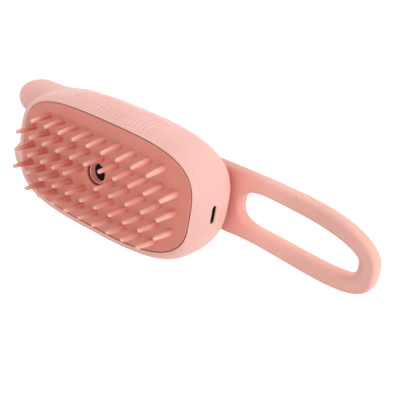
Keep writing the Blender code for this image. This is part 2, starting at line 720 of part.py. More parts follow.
def water_tank():
    low, high = TANK_LOW, TANK_HIGH
    tank = block("water_tank", low, high, 1.5 * MM, CLEAR_PLASTIC)
    join(tank, side_cylinder("neck", NECK_RADIUS, FLAP_SEAT_Y + 2.8 * MM, low[1] + TANK_WALL / 2))
    hollow_low = [edge + TANK_WALL for edge in low]
    cut(tank, block("tank_hollow", hollow_low, (high[0] - TANK_WALL, high[1] - TANK_WALL, high[2] + 5 * MM)))
    cut(tank, side_cylinder("neck_bore", NECK_BORE_RADIUS, -32 * MM, low[1] + 3 * MM))


def tank_top():
    """A frame seal on the tank's rim, and the lid that the wick hangs through."""
    low, high = TANK_LOW, TANK_HIGH
    seal_low = high[2] + GAP
    lid_low = seal_low + 1.0 * MM + GAP
    seal = block("tank_seal", (low[0], low[1], seal_low), (high[0], high[1], lid_low - GAP), 0.0, DARK_RUBBER)
    window_low = (low[0] + SEAL_FRAME, low[1] + SEAL_FRAME, seal_low - 2 * MM)
    window_high = (high[0] - SEAL_FRAME, high[1] - SEAL_FRAME, lid_low + 2 * MM)
    cut(seal, block("seal_window", window_low, window_high))
    lid_corner = (high[0], high[1], lid_low + 1.2 * MM)
    lid = block("tank_lid", (low[0], low[1], lid_low), lid_corner, 0.0, WHITE_PLASTIC)
    hole = cylinder("wick_hole", WICK_HOLE_RADIUS, lid_low - 5 * MM, lid_low + 5 * MM, (NOZZLE_X, NOZZLE_Y))
    cut(lid, hole)


def filler_plug():
    """A soft flap with a short stem that closes the filler; its origin is on its thin end, where it swings."""
    flap_y = FLAP_SEAT_Y - GAP - FLAP_THICKNESS / 2
    offset = (FILLER_X - FLAP_HINGE_X, 0.0, 0.0)
    side_turn = (math.pi / 2, 0, 0)
    flap = stadium("filler_plug", 2 * FLAP_HALF_LENGTH, FLAP_RADIUS, FLAP_THICKNESS, offset, side_turn)
    flap.data.transform(flap.matrix_basis)
    flap.matrix_basis = Matrix.Translation((FLAP_HINGE_X, flap_y, FILLER_Z))
    link(flap, PINK_RUBBER)
    join(flap, side_cylinder("plug_stem", PLUG_STEM_RADIUS, flap_y, FLAP_SEAT_Y + 2.2 * MM))


# ---------------------------------------------------------------- button and electronics

def button_parts():
    centre = (BUTTON_X, 0.0, 0.0)
    face = 0.5 * MM
    cap = [
        (0.0, 3.5 * MM), (2.5 * MM, 3.5 * MM), (2.5 * MM, 3.1 * MM), (7.0 * MM, 3.1 * MM),
        (7.0 * MM, 2.3 * MM), (BUTTON_RADIUS, 2.3 * MM), (BUTTON_RADIUS, face + 0.6 * MM),
        (BUTTON_RADIUS - 0.6 * MM, face), (0.0, face),
    ]
    turned("power_button", cap, centre, SHELL_PINK)
    switch_low = (BUTTON_X - 3 * MM, -3 * MM, 5.1 * MM)
    switch_high = (BUTTON_X + 3 * MM, 3 * MM, 7.6 * MM)
    switch = block("button_switch", switch_low, switch_high, 0.3 * MM, STEEL)
    join(switch, cylinder("switch_plunger", 1.7 * MM, 4.5 * MM, 5.5 * MM, (BUTTON_X, 0.0), 12))
    board_low = (BUTTON_X - 7 * MM, -6 * MM, 7.9 * MM)
    board_high = (BUTTON_X + 15 * MM, 6 * MM, 8.9 * MM)
    block("switch_board", board_low, board_high, 0.0, BOARD_GREEN)
    light = cylinder("status_light", LIGHT_RADIUS, 0.4 * MM, 7.5 * MM, (LIGHT_X, 0.0), 12)
    link(light, CLEAR_PLASTIC)


def electronics():
    low = (*BOARD_LOW, BOARD_TOP - BOARD_THICKNESS)
    block("main_board", low, (*BOARD_HIGH, BOARD_TOP), 0.0, BOARD_GREEN)
    block("battery", BATTERY_LOW, BATTERY_HIGH, 1.5 * MM, CELL_FOIL)
    chip_low = (24 * MM, -3.5 * MM, BOARD_TOP + GAP)
    chip_high = (31 * MM, 3.5 * MM, BOARD_TOP + 1.6 * MM)
    block("control_chip", chip_low, chip_high, 0.2 * MM, DARK_RUBBER)
    coil = ring_profile(1.5 * MM, 4.0 * MM, BOARD_TOP + GAP, BOARD_TOP + 4.3 * MM, 0.6 * MM)
    turned("driver_coil", coil, (18 * MM, 0.0, 0.0), BRASS)
    socket_low = (SOCKET_X[0], PORT_Y - SOCKET_HALF_WIDTH, PORT_Z - SOCKET_HALF_HEIGHT)
    socket_high = (SOCKET_X[1], PORT_Y + SOCKET_HALF_WIDTH, PORT_Z + SOCKET_HALF_HEIGHT)
    socket = block("usb_socket", socket_low, socket_high, 0.9 * MM, STEEL)
    mouth = (SOCKET_X[1] - 2.5 * MM, PORT_Y, PORT_Z)
    cut(socket, stadium("usb_mouth", 8.3 * MM, 1.25 * MM, 7 * MM, mouth, (math.pi / 2, 0, math.pi / 2)))


def main():
    front_shell()
    bristle_pad()
    pad_carrier()
    back_cover()
    case_screws()
    handle()
    pivot_pieces()
    nozzle_parts()
    wick_parts()
    water_tank()
    tank_top()
    filler_plug()
    button_parts()
    electronics()


main()
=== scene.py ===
"""Looks of the pet steam grooming brush: fine shells, pad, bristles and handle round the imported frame."""
import math

import bmesh
import bpy
import numpy as np
from mathutils import Matrix, Vector


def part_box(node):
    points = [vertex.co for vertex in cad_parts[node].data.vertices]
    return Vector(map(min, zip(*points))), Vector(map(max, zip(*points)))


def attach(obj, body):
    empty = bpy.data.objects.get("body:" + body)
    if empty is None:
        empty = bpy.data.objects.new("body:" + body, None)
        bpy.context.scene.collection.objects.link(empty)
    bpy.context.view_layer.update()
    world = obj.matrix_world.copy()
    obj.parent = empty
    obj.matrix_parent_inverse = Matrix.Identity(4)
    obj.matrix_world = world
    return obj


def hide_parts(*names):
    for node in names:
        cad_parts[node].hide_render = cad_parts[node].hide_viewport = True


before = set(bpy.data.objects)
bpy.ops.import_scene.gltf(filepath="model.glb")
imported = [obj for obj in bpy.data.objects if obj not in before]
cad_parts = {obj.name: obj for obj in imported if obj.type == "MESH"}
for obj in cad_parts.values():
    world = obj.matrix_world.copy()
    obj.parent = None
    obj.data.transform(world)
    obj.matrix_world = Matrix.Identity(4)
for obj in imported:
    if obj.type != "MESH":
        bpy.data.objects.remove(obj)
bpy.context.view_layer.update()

MM = 0.001

# ---------------- places and sizes, read from the frame

SHELL_LOW, SHELL_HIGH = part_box("front_shell")
PAD_LOW, PAD_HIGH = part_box("bristle_pad")
HANDLE_LOW, HANDLE_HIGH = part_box("handle")
CAP_LOW, CAP_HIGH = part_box("nozzle_cap")
HUB_LOW, HUB_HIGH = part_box("hub_cap")
PLUG_LOW, PLUG_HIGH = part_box("filler_plug")
BUTTON_LOW, BUTTON_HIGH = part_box("power_button")
LIGHT_LOW, LIGHT_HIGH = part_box("status_light")
SOCKET_LOW, SOCKET_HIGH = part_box("usb_socket")
SCREW_BOXES = [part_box(f"case_screw_{number}") for number in (1, 2, 3, 4)]


def middle(low, high):
    return (low + high) / 2


NOZZLE = middle(CAP_LOW, CAP_HIGH)
HUB = middle(HUB_LOW, HUB_HIGH)
PLUG = middle(PLUG_LOW, PLUG_HIGH)
BUTTON = middle(BUTTON_LOW, BUTTON_HIGH)
LAMP = middle(LIGHT_LOW, LIGHT_HIGH)
PORT = middle(SOCKET_LOW, SOCKET_HIGH)
FACE_Z = SHELL_HIGH.z
QUARTER = math.pi / 2


# ---------------- mesh helpers

def in_mm(*points):
    """Points given in millimetres, turned into metres."""
    return [tuple(value * MM for value in point) for point in points]


def eased(value):
    """Turns a value smoothly from 0 to 1."""
    share = np.clip(value, 0, 1)
    return share * share * (3 - 2 * share)


def fix_shading(obj, smooth_degrees=40.0):
    obj.data.shade_smooth()
    obj.data.set_sharp_from_angle(angle=math.radians(smooth_degrees))
    return obj


def new_mesh(name, points, faces, smooth_degrees=40.0):
    data = bpy.data.meshes.new(name)
    data.from_pydata([tuple(p) for p in points], [], faces)
    data.validate()
    form = bmesh.new()
    form.from_mesh(data)
    bmesh.ops.recalc_face_normals(form, faces=form.faces)
    form.to_mesh(data)
    form.free()
    obj = bpy.data.objects.new(name, data)
    bpy.context.scene.collection.objects.link(obj)
    return fix_shading(obj, smooth_degrees)


def ring_faces(rings, count, base=0, tube=False):
    """Quads between rings of count points; a tube joins its last ring to its first, others are capped."""
    faces = []
    for ring in range(rings if tube else rings - 1):
        below = base + ring * count
        above = base + ((ring + 1) % rings) * count
        for here in range(count):
            after = (here + 1) % count
            faces.append((below + here, below + after, above + after, above + here))
    if not tube:
        faces.append(tuple(base + here for here in range(count)))
        faces.append(tuple(base + (rings - 1) * count + here for here in range(count)))
    return faces


def loft(name, rows, tube=False, smooth_degrees=40.0):
    """A skin over closed rings, given as an array (rings, points, 3)."""
    rows = np.asarray(rows, float)
    rings, count = rows.shape[:2]
    return new_mesh(name, rows.reshape(-1, 3), ring_faces(rings, count, tube=tube), smooth_degrees)


def superellipse_reach(cosine, sine, exponent):
    """How far a superellipse of half width 1 reaches in each direction."""
    return (np.abs(cosine) ** exponent + np.abs(sine) ** exponent) ** (-1 / exponent)


def outline(half_length, half_width, exponent, angles, centre_x=0.0):
    """A superellipse as an array (points, 2)."""
    cosine = np.cos(angles)
    sine = np.sin(angles)
    reach = superellipse_reach(cosine, sine, exponent)
    return np.stack([centre_x + half_length * reach * cosine, half_width * reach * sine], axis=-1)


def at_height(points, height):
    heights = np.broadcast_to(height, points.shape[:1])
    return np.concatenate([points, heights[:, None]], axis=1)


def distance_along(points):
    """How far along a line each of its points is."""
    return np.concatenate([[0.0], np.cumsum(np.linalg.norm(np.diff(points, axis=0), axis=1))])


def rounded(corners, steps):
    """A closed line of (a, b, radius) corners with each corner turned into an arc."""
    made = []
    count = len(corners)
    for here in range(count):
        before = Vector(corners[here - 1][:2])
        corner = Vector(corners[here][:2])
        after = Vector(corners[(here + 1) % count][:2])
        radius = corners[here][2]
        back = before - corner
        ahead = after - corner
        turn = back.angle(ahead, math.pi)
        if radius <= 0:
            made.append(tuple(corner))
            continue
        cut = min(radius / math.tan(turn / 2), 0.49 * back.length, 0.49 * ahead.length)
        radius = cut * math.tan(turn / 2)
        start = corner + back.normalized() * cut
        end = corner + ahead.normalized() * cut
        inwards = (back.normalized() + ahead.normalized()).normalized()
        centre = corner + inwards * (radius / math.sin(turn / 2))
        from_centre = start - centre
        swing = from_centre.angle_signed(end - centre, 0.0)
        for step in range(steps + 1):
            made.append(tuple(centre + Matrix.Rotation(-swing * step / steps, 2) @ from_centre))
    return made


ON_AXIS = 1e-7


def turned(name, profile, place=(0, 0, 0), sides=96):
    """A profile of (radius, height) swept round Z. It closes on the axis, or on itself if it stays off it."""
    angles = np.linspace(0, 2 * math.pi, sides, endpoint=False)
    tube = all(radius > ON_AXIS for radius, height in profile)
    points = []
    rings = []
    for radius, height in profile:
        if radius < ON_AXIS:
            rings.append([len(points)] * sides)
            points.append((0.0, 0.0, height))
        else:
            rings.append(list(range(len(points), len(points) + sides)))
            points.extend((radius * math.cos(a), radius * math.sin(a), height) for a in angles)
    faces = []
    for low, high in zip(rings, rings[1:] + rings[:1] if tube else rings[1:]):
        for here in range(sides):
            after = (here + 1) % sides
            face = dict.fromkeys((low[here], low[after], high[after], high[here]))
            if len(face) > 2:
                faces.append(tuple(face))
    obj = new_mesh(name, points, faces)
    obj.location = place
    return obj


def prism(name, outline_points, low, high, edge=0.0, steps=4):
    """An upright prism on an (x, y) outline that is convex, its top and bottom edges rounded."""
    points = np.asarray(outline_points, float)
    centre = points.mean(axis=0)
    size = np.abs(points - centre).max(axis=0)
    levels = [(edge, low)]
    for step in range(1, steps + 1):
        turn = QUARTER * step / steps
        levels.append((edge * (1 - math.sin(turn)), low + edge * (1 - math.cos(turn))))
    for step in range(0, steps + 1):
        turn = QUARTER * step / steps
        levels.append((edge * (1 - math.cos(turn)), high - edge * (1 - math.sin(turn))))
    rows = []
    for inset, height in levels:
        shrink = 1 - inset / size
        rows.append(at_height(centre + (points - centre) * shrink, height))
    return loft(name, rows, False, 30.0)


def stadium(length, radius, steps=16):
    """The outline of a slot with round ends, along X."""
    points = []
    half = length / 2 - radius
    for side, start in ((1, -90), (-1, 90)):
        for step in range(steps + 1):
            angle = math.radians(start + 180 * step / steps)
            points.append((side * half + radius * math.cos(angle), radius * math.sin(angle)))
    return points


def rectangle(half_length, half_width):
    return [
        (-half_length, -half_width), (half_length, -half_width),
        (half_length, half_width), (-half_length, half_width),
    ]


def towards_x(x, y, z):
    """Where to stand a piece made along Z so that it runs along +X from a place, with its X along Y."""
    return Matrix.Translation((x, y, z)) @ Matrix.Rotation(QUARTER, 4, "Z") @ Matrix.Rotation(QUARTER, 4, "X")


def towards_minus_y(x, y, z):
    """Where to stand a piece made along Z so that it runs along -Y from a place."""
    return Matrix.Translation((x, y, z)) @ Matrix.Rotation(QUARTER, 4, "X")


def boolean(obj, tool, operation, solver="EXACT"):
    """Applies a Boolean at once and removes the tool."""
    change = obj.modifiers.new("change", "BOOLEAN")
    change.operation = operation
    change.solver = solver
    change.object = tool
    bpy.context.view_layer.update()
    evaluated = obj.evaluated_get(bpy.context.evaluated_depsgraph_get())
    data = bpy.data.meshes.new_from_object(evaluated)
    obj.modifiers.clear()
    old = obj.data
    obj.data = data
    data.name = obj.name
    bpy.data.meshes.remove(old)
    bpy.data.objects.remove(tool)
    return obj


# ---------------- materials

MIX_COLOURS = slice(6, 8)
MIX_RESULT = 2


def node(tree, kind, **settings):
    made = tree.nodes.new(kind)
    for name, value in settings.items():
        setattr(made, name, value)
    return made


def mixed_colour(tree, factor, first, second):
    """Mixes two colours, each of them a tuple or another node's output."""
    mix = node(tree, "ShaderNodeMix", data_type="RGBA")
    tree.links.new(factor, mix.inputs[0])
    for socket, colour in zip(mix.inputs[MIX_COLOURS], (first, second)):
        if isinstance(colour, tuple):
            socket.default_value = (*colour, 1.0)
        else:
            tree.links.new(colour, socket)
    return mix.outputs[MIX_RESULT]


def ranged(tree, value, low, high, start=0.3, end=0.7):
    spread = node(tree, "ShaderNodeMapRange")
    spread.inputs["From Min"].default_value = start
    spread.inputs["From Max"].default_value = end
    spread.inputs["To Min"].default_value = low
    spread.inputs["To Max"].default_value = high
    tree.links.new(value, spread.inputs["Value"])
    return spread.outputs["Result"]


def noise(tree, coordinates, scale, detail, roughness=0.55):
    made = node(tree, "ShaderNodeTexNoise")
    made.inputs["Scale"].default_value = scale
    made.inputs["Detail"].default_value = detail
    made.inputs["Roughness"].default_value = roughness
    tree.links.new(coordinates, made.inputs["Vector"])
    return made.outputs["Fac"]


def toned(tree, base, place, tones):
    """Blends in each tone's colour by the product of its ramps.

    A ramp is an axis, the place on it where the tone starts, and the place where it is full.
    """
    split = node(tree, "ShaderNodeSeparateXYZ")
    tree.links.new(place, split.inputs["Vector"])
    for colour, ramps in tones:
        share = None
        for axis, start, full in ramps:
            ramp = ranged(tree, split.outputs[axis], 0.0, 1.0, start, full)
            if share is None:
                share = ramp
                continue
            product = node(tree, "ShaderNodeMath", operation="MULTIPLY")
            tree.links.new(share, product.inputs[0])
            tree.links.new(ramp, product.inputs[1])
            share = product.outputs[0]
        base = mixed_colour(tree, share, base, colour)
    return base


def moulded(name, colour, roughness, grain=0.02 * MM, grain_scale=5200.0, variation=0.05, tones=(), soft=0.0,
            soft_radius=(0.0, 0.0, 0.0), metallic=0.0, transmission=0.0, specular=0.5, sheen=0.0):
    """A moulded surface: cloudy colour, faint handling marks in the gloss, and a fine spark-eroded grain."""
    made = bpy.data.materials.new(name)
    made.use_nodes = True
    tree = made.node_tree
    shader = tree.nodes["Principled BSDF"]
    place = node(tree, "ShaderNodeTexCoord").outputs["Object"]
    clouds = noise(tree, place, 38.0, 4.0)
    marks = noise(tree, place, 160.0, 6.0, 0.7)
    grains = noise(tree, place, grain_scale, 2.0)
    darker = tuple(c * (1 - variation) for c in colour)
    lighter = tuple(min(c * (1 + variation), 1.0) for c in colour)
    base = mixed_colour(tree, ranged(tree, clouds, 0.0, 1.0), darker, lighter)
    base = toned(tree, base, place, tones)
    tree.links.new(base, shader.inputs["Base Color"])
    tree.links.new(ranged(tree, marks, roughness - 0.05, roughness + 0.06), shader.inputs["Roughness"])
    bump = node(tree, "ShaderNodeBump")
    bump.inputs["Strength"].default_value = 0.35
    bump.inputs["Distance"].default_value = grain
    tree.links.new(grains, bump.inputs["Height"])
    tree.links.new(bump.outputs["Normal"], shader.inputs["Normal"])
    shader.inputs["Metallic"].default_value = metallic
    shader.inputs["Specular IOR Level"].default_value = specular
    shader.inputs["Transmission Weight"].default_value = transmission
    shader.inputs["Sheen Weight"].default_value = sheen
    if soft:
        shader.inputs["Subsurface Weight"].default_value = soft
        shader.inputs["Subsurface Radius"].default_value = soft_radius
        shader.inputs["Subsurface Scale"].default_value = 1.0
    return made


PLASTIC_GLOW = {"soft": 0.12, "soft_radius": (3.0 * MM, 1.2 * MM, 0.9 * MM)}
SILICONE_GRAIN = 3600.0
METAL_GRAIN = 2200.0
RUBBER_GRAIN = 2600.0

# Painted light: the bristles turn paler upwards from just above the pad, as where the light reaches them.
PAINTED_LIGHT_TIPS = ((0.97, 0.500, 0.415), (("Z", FACE_Z + 0.7 * MM, FACE_Z + 5.5 * MM),))
# Painted shade: the bristles' lower parts are darker, more so towards -X, where the bristles shade one
# another.
PAINTED_SHADE_FEET = ((0.66, 0.190, 0.145), (
    ("Z", FACE_Z + 0.4 * MM, FACE_Z + 1.2 * MM),
    ("Z", FACE_Z + 11.5 * MM, FACE_Z + 5.5 * MM),
    ("X", 28 * MM, -40 * MM),
))
# Painted shade: the pad's edge turns dark below its face, down in the seam beside the housing.
PAINTED_SHADE_SEAM = ((0.42, 0.085, 0.065), (("Z", FACE_Z - 0.25 * MM, FACE_Z - 0.6 * MM),))
# Painted shade: the handle darkens towards its root by the body, by object X. The hub cap and button, which
# are built round their own origins, take this colour all over.
PAINTED_SHADE_ROOT = ((0.80, 0.360, 0.300), (("X", 74 * MM, 52 * MM),))

SHELL = moulded("shell_plastic", (0.93, 0.525, 0.470), 0.50, **PLASTIC_GLOW)
PAD = moulded("pad_silicone", (0.79, 0.295, 0.228), 0.52, grain_scale=SILICONE_GRAIN, variation=0.03,
              tones=(PAINTED_LIGHT_TIPS, PAINTED_SHADE_FEET, PAINTED_SHADE_SEAM), soft=0.35, soft_radius=(2.8 * MM, 0.9 * MM, 0.6 * MM))
HANDLE = moulded("handle_plastic", (0.97, 0.515, 0.440), 0.46, tones=(PAINTED_SHADE_ROOT,), **PLASTIC_GLOW)
NOZZLE_RING = moulded("nozzle_plastic", (0.90, 0.42, 0.37), 0.42, grain_scale=4200.0)
# Painted shade: a near-black liner that keeps the nozzle's hole dark.
PAINTED_SHADE_THROAT = moulded("nozzle_throat", (0.035, 0.016, 0.014), 0.55, grain_scale=RUBBER_GRAIN, variation=0.2,
                 specular=0.3)
CARRIER = moulded("carrier_plastic", (0.50, 0.12, 0.09), 0.5)
SOFT_PINK = moulded("plug_silicone", (0.74, 0.36, 0.31), 0.58, grain_scale=SILICONE_GRAIN, soft=0.2,
                    soft_radius=(2.0 * MM, 0.8 * MM, 0.6 * MM))
INNER = moulded("inner_plastic", (0.78, 0.78, 0.75), 0.45)
TANK = moulded("tank_plastic", (0.86, 0.92, 0.95), 0.12, grain=0.004 * MM, variation=0.01, transmission=0.85)
LAMP_PLASTIC = moulded("lamp_plastic", (0.90, 0.92, 0.94), 0.22, variation=0.02, transmission=0.5)
RUBBER = moulded("dark_rubber", (0.018, 0.016, 0.016), 0.72, grain_scale=RUBBER_GRAIN, variation=0.2)
STEEL = moulded("steel", (0.56, 0.56, 0.58), 0.30, grain_scale=METAL_GRAIN, metallic=1.0, variation=0.06)
# Painted shade: the socket, its tongue and its liner are near-black rather than steel, so the charging slot
# stays dark.
PAINTED_SHADE_PORT = moulded("port_painted_shade", (0.012, 0.010, 0.010), 0.6, grain_scale=RUBBER_GRAIN, variation=0.2,
                     specular=0.12)
BRASS = moulded("brass", (0.62, 0.42, 0.20), 0.34, grain_scale=METAL_GRAIN, metallic=1.0, variation=0.08)
BOARD = moulded("board_mask", (0.012, 0.11, 0.045), 0.35, grain_scale=900.0, grain=0.05 * MM, variation=0.25)
CELL = moulded("cell_foil", (0.50, 0.52, 0.55), 0.32, grain_scale=700.0, grain=0.08 * MM, metallic=0.7)
COTTON = moulded("wick_cotton", (0.82, 0.79, 0.72), 0.9, grain_scale=1500.0, grain=0.2 * MM, sheen=0.4,
                 variation=0.08)


def dress(obj, coat):
    obj.data.materials.clear()
    obj.data.materials.append(coat)
    return obj


def stands_for(obj, coat, body, slot, *nodes):
    """Gives a finished piece its material and body, and hides the CAD nodes it stands for."""
    dress(obj, coat)
    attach(obj, body)
    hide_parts(*nodes)
    return obj


# ---------------- the pad's outline, which the housing follows

PAD_HALF_LENGTH = PAD_HIGH.x
PAD_HALF_WIDTH = PAD_HIGH.y
PAD_FAR_INSET = PAD_HIGH.x + PAD_LOW.x
PAD_SIDE_INSET = 0.35 * MM
PAD_EXPONENT = 3.5
PAD_SOFTER_CORNER = 0.6


def pad_edge(outset, angles):
    """The pad's outline moved out by outset; it is a little shorter towards the ears and on the -Y side."""
    cosine = np.cos(angles)
    sine = np.sin(angles)
    exponent = PAD_EXPONENT - PAD_SOFTER_CORNER * eased(-2 * sine * cosine) * (sine < 0)
    reach = superellipse_reach(cosine, sine, exponent)
    half_length = PAD_HALF_LENGTH + outset - PAD_FAR_INSET * eased(-cosine / 0.5)
    half_width = PAD_HALF_WIDTH + outset - PAD_SIDE_INSET * eased(-sine / 0.5)
    return np.stack([half_length * reach * cosine, half_width * reach * sine], axis=-1)


# ---------------- housing

RIM_START = 0.7 * MM
RIM_SHAPE = 1.55
RIM_STEPS = 6
FAR_RIM_OUT = 2.2 * MM
SIDE_RIM_OUT = 1.9 * MM
RIM_SWELL_START = 0.6 * MM
BODY_EXPONENT = 2.95
BODY_DEPTH = FACE_Z - SHELL_LOW.z
BULGE_OUT = SHELL_HIGH.x - PAD_HALF_LENGTH - RIM_START
BULGE_DEPTH = 11.4 * MM
BACK_ROUNDING = 8.7 * MM
WALL = 2.0 * MM
LEDGE_DEPTH = 3.0 * MM
LEDGE_WIDTH = 3.0 * MM
PAD_FIT = 0.04 * MM
SEAM = 0.42 * MM
SEAM_CLOSES = 0.7
SEAM_STEP_DEPTH = 2.2 * MM

EAR_RADII = (11.6 * MM, 9.3 * MM, 10.6 * MM)
EAR_CENTRE = (SHELL_LOW.x + EAR_RADII[0], 16.5 * MM, FACE_Z - 19.9 * MM)
EAR_FULLNESS = 2.5
EAR_BLEND = 7.0 * MM
EAR_SHOULDER = (-36.0 * MM, 18.2 * MM, FACE_Z - 21.6 * MM)
EAR_SHOULDER_RADII = (10.0 * MM, 9.6 * MM, 10.6 * MM)
EAR_WAIST = 0.5 * MM
EAR_END_X = -25 * MM
EAR_FAN = (-44 * MM, 9 * MM)
EAR_SEARCH = np.linspace(24 * MM, -1 * MM, 126)
LEAST_SLANT = 0.05

RIB_PITCH = 2.65 * MM
RIB_FIRST_X = -28.7 * MM
RIB_LAST_X = 24.3 * MM
RIB_COUNT = round((RIB_LAST_X - RIB_FIRST_X) / RIB_PITCH)
RIB_FRONT_DEPTH = 2.4 * MM
RIB_BACK_DEPTH = 18.8 * MM
RIB_SHORT_SHARE = 0.32
RIB_FRONT_SHORTER = 4.0 * MM
RIB_BACK_SHORTER = 3.0 * MM
RIB_FADE = 0.9 * MM
RIB_GROOVE = 0.62 * MM
RIB_SHARPNESS = 1.6

COARSE_TURN = 0.6
FINE_TURN = 0.22
RIB_ARC = (36.0, 140.0)
EAR_ARC = (140.2, 180.0, 219.8)

PORT_CUT = (9.4 * MM, 1.65 * MM)
FILLER_SEAT_Y = PLUG_LOW.y + 1.9 * MM
FILLER_BOSS = (26 * MM, 6.4 * MM)
FILLER_POCKET = (22.0 * MM, 6.3 * MM)
FILLER_BORE_RADIUS = 3.9 * MM


def section(depth):
    """Half length, half width and exponent of the housing's outside at a depth below the rim."""
    if depth <= BULGE_DEPTH:
        grown = (1 - (1 - depth / BULGE_DEPTH) ** RIM_SHAPE) ** (1 / RIM_SHAPE)
        out = RIM_START + BULGE_OUT * grown
        exponent = PAD_EXPONENT + (BODY_EXPONENT - PAD_EXPONENT) * grown
    else:
        drop = min((depth - BULGE_DEPTH) / (BODY_DEPTH - BULGE_DEPTH), 1.0)
        out = RIM_START + BULGE_OUT - BACK_ROUNDING * (1 - math.sqrt(1 - drop * drop))
        exponent = BODY_EXPONENT
    return PAD_HALF_LENGTH + out, PAD_HALF_WIDTH + out, exponent


def outer_depths(rim_steps=26, side_steps=44):
    """Depths of the outside rings, closest together where the section turns."""
    depths = []
    for step in range(rim_steps):
        turn = QUARTER * step / rim_steps
        depths.append(BULGE_DEPTH * (1 - math.cos(turn) ** (2 / RIM_SHAPE)))
    for step in range(side_steps + 1):
        turn = QUARTER * step / side_steps
        depths.append(BULGE_DEPTH + (BODY_DEPTH - BULGE_DEPTH) * math.sin(turn))
    return depths


def grid_normals(rows):
    """Outward unit normals of an open stack of closed rings."""
    round_way = np.roll(rows, -1, axis=1) - np.roll(rows, 1, axis=1)
    down_way = np.gradient(rows, axis=0)
    normals = np.cross(down_way, round_way)
    normals /= np.maximum(np.linalg.norm(normals, axis=2, keepdims=True), 1e-12)
    outward = np.sum(normals * (rows - rows.mean(axis=(0, 1))), axis=2, keepdims=True)
    return normals * np.sign(outward.mean())


def ear_distance(points, side):
    """About the distance from an ear's surface, negative inside it.

    The ear runs on to a shoulder inside the housing.
    """
    mirror = np.array((1.0, side, 1.0))
    start = np.array(EAR_CENTRE) * mirror
    run = np.array(EAR_SHOULDER) * mirror - start
    share = np.clip(np.sum((points - start) * run, axis=-1) / np.dot(run, run), 0, 1)[..., None]
    radii = np.array(EAR_RADII) * (1 - share) + np.array(EAR_SHOULDER_RADII) * share
    radii = radii - EAR_WAIST * np.sin(math.pi * share)
    away = points - start - run * share
    scaled = away / radii
    level = np.hypot(scaled[..., 0], scaled[..., 1])
    size = (level ** EAR_FULLNESS + np.abs(scaled[..., 2]) ** EAR_FULLNESS) ** (1 / EAR_FULLNESS)
    size = np.maximum(size, 1e-6)
    return np.linalg.norm(away, axis=-1) * (1 - 1 / size)


def merged(first, second, width):
    """A smooth union of two distances."""
    overlap = np.maximum(width - np.abs(first - second), 0.0) / width
    return np.minimum(first, second) - overlap ** 3 * width / 6


def grow_ears(rows):
    """Moves the housing's far end outwards on to a smooth union with two ears.

    Each point moves away from the nearest point of a level plate inside, to the union's outermost surface.
    """
    normals = grid_normals(rows)
    fan = np.empty_like(rows)
    fan[..., 0] = np.maximum(rows[..., 0], EAR_FAN[0])
    fan[..., 1] = np.clip(rows[..., 1], -EAR_FAN[1], EAR_FAN[1])
    fan[..., 2] = EAR_CENTRE[2]
    near = rows[..., 0] < EAR_END_X
    start = rows[near]
    rays = start - fan[near]
    rays /= np.linalg.norm(rays, axis=1, keepdims=True)
    slant = np.maximum(np.sum(rays * normals[near], axis=1), LEAST_SLANT)
    reach = np.zeros(len(start))
    found = np.zeros(len(start), bool)
    previous = None
    for along in EAR_SEARCH:
        points = start + rays * along
        value = along * slant
        for side in (-1, 1):
            value = merged(value, ear_distance(points, side), EAR_BLEND)
        if previous is not None:
            crossed = (~found) & (value <= 0) & (previous > 0)
            share = previous[crossed] / np.maximum(previous[crossed] - value[crossed], 1e-12)
            reach[crossed] = along + (EAR_SEARCH[0] - EAR_SEARCH[1]) * (1 - share)
            found |= crossed
        previous = value
    reach = np.maximum(reach, 0.0)
    grown = rows.copy()
    grown[near] = start + rays * reach[:, None]
    return grown


def even_out(ring, anchors):
    """Spreads a ring's points evenly by length between its anchor columns."""
    made = ring.copy()
    count = len(ring)
    for first, last in zip(anchors, anchors[1:]):
        columns = np.arange(first, last + 1) % count
        span = ring[columns]
        gone = distance_along(span)
        wanted = np.linspace(0, gone[-1], last - first + 1)
        for axis in range(3):
            made[columns, axis] = np.interp(wanted, gone, span[:, axis])
    return made


def cut_ribs(rows):
    """Fine grip grooves on the +Y side, running down from the rim, shorter towards the far end."""
    normals = grid_normals(rows)
    depth = FACE_Z - rows[..., 2]
    along = (rows[..., 0] - RIB_FIRST_X) / (RIB_LAST_X - RIB_FIRST_X)
    share = np.floor(np.clip(along, 0, 0.9999) * RIB_COUNT) / (RIB_COUNT - 1)
    shorter = np.clip(1 - share / RIB_SHORT_SHARE, 0, 1) ** 2
    front = RIB_FRONT_DEPTH + RIB_FRONT_SHORTER * shorter
    back = RIB_BACK_DEPTH - RIB_BACK_SHORTER * shorter
    inside = eased(np.clip((depth - front) / RIB_FADE, 0, 1) * np.clip((back - depth) / RIB_FADE, 0, 1))
    inside *= (along > 0) & (along < 1) & (rows[..., 1] > 0)
    groove = (0.5 + 0.5 * np.cos(2 * math.pi * (along * RIB_COUNT))) ** RIB_SHARPNESS
    return rows - normals * (RIB_GROOVE * groove * inside)[..., None]


def shell_angles():
    """Directions round the housing, closest together along the ribs."""
    return np.radians(np.concatenate([
        np.arange(0.0, RIB_ARC[0], COARSE_TURN),
        np.arange(RIB_ARC[0], RIB_ARC[1], FINE_TURN),
        np.arange(EAR_ARC[0], 360.0, COARSE_TURN),
    ]))


def rim_rings(angles):
    """Rings of the step beside the pad, the seam's wall and the rounded rim, from the ledge upwards."""
    seam = SEAM * (1 - SEAM_CLOSES * eased(-np.cos(angles) / 0.6))
    fit = pad_edge(PAD_FIT, angles)
    rings = [
        at_height(fit, FACE_Z - LEDGE_DEPTH),
        at_height(fit, FACE_Z - SEAM_STEP_DEPTH - 0.1 * MM),
        at_height(pad_edge(seam, angles), FACE_Z - SEAM_STEP_DEPTH),
    ]
    roundover = RIM_START - seam
    for step in range(RIM_STEPS):
        turn = QUARTER * step / RIM_STEPS
        edge = pad_edge(seam + roundover * (1 - math.cos(turn)), angles)
        rings.append(at_height(edge, FACE_Z - roundover * (1 - math.sin(turn))))
    return np.array(rings)


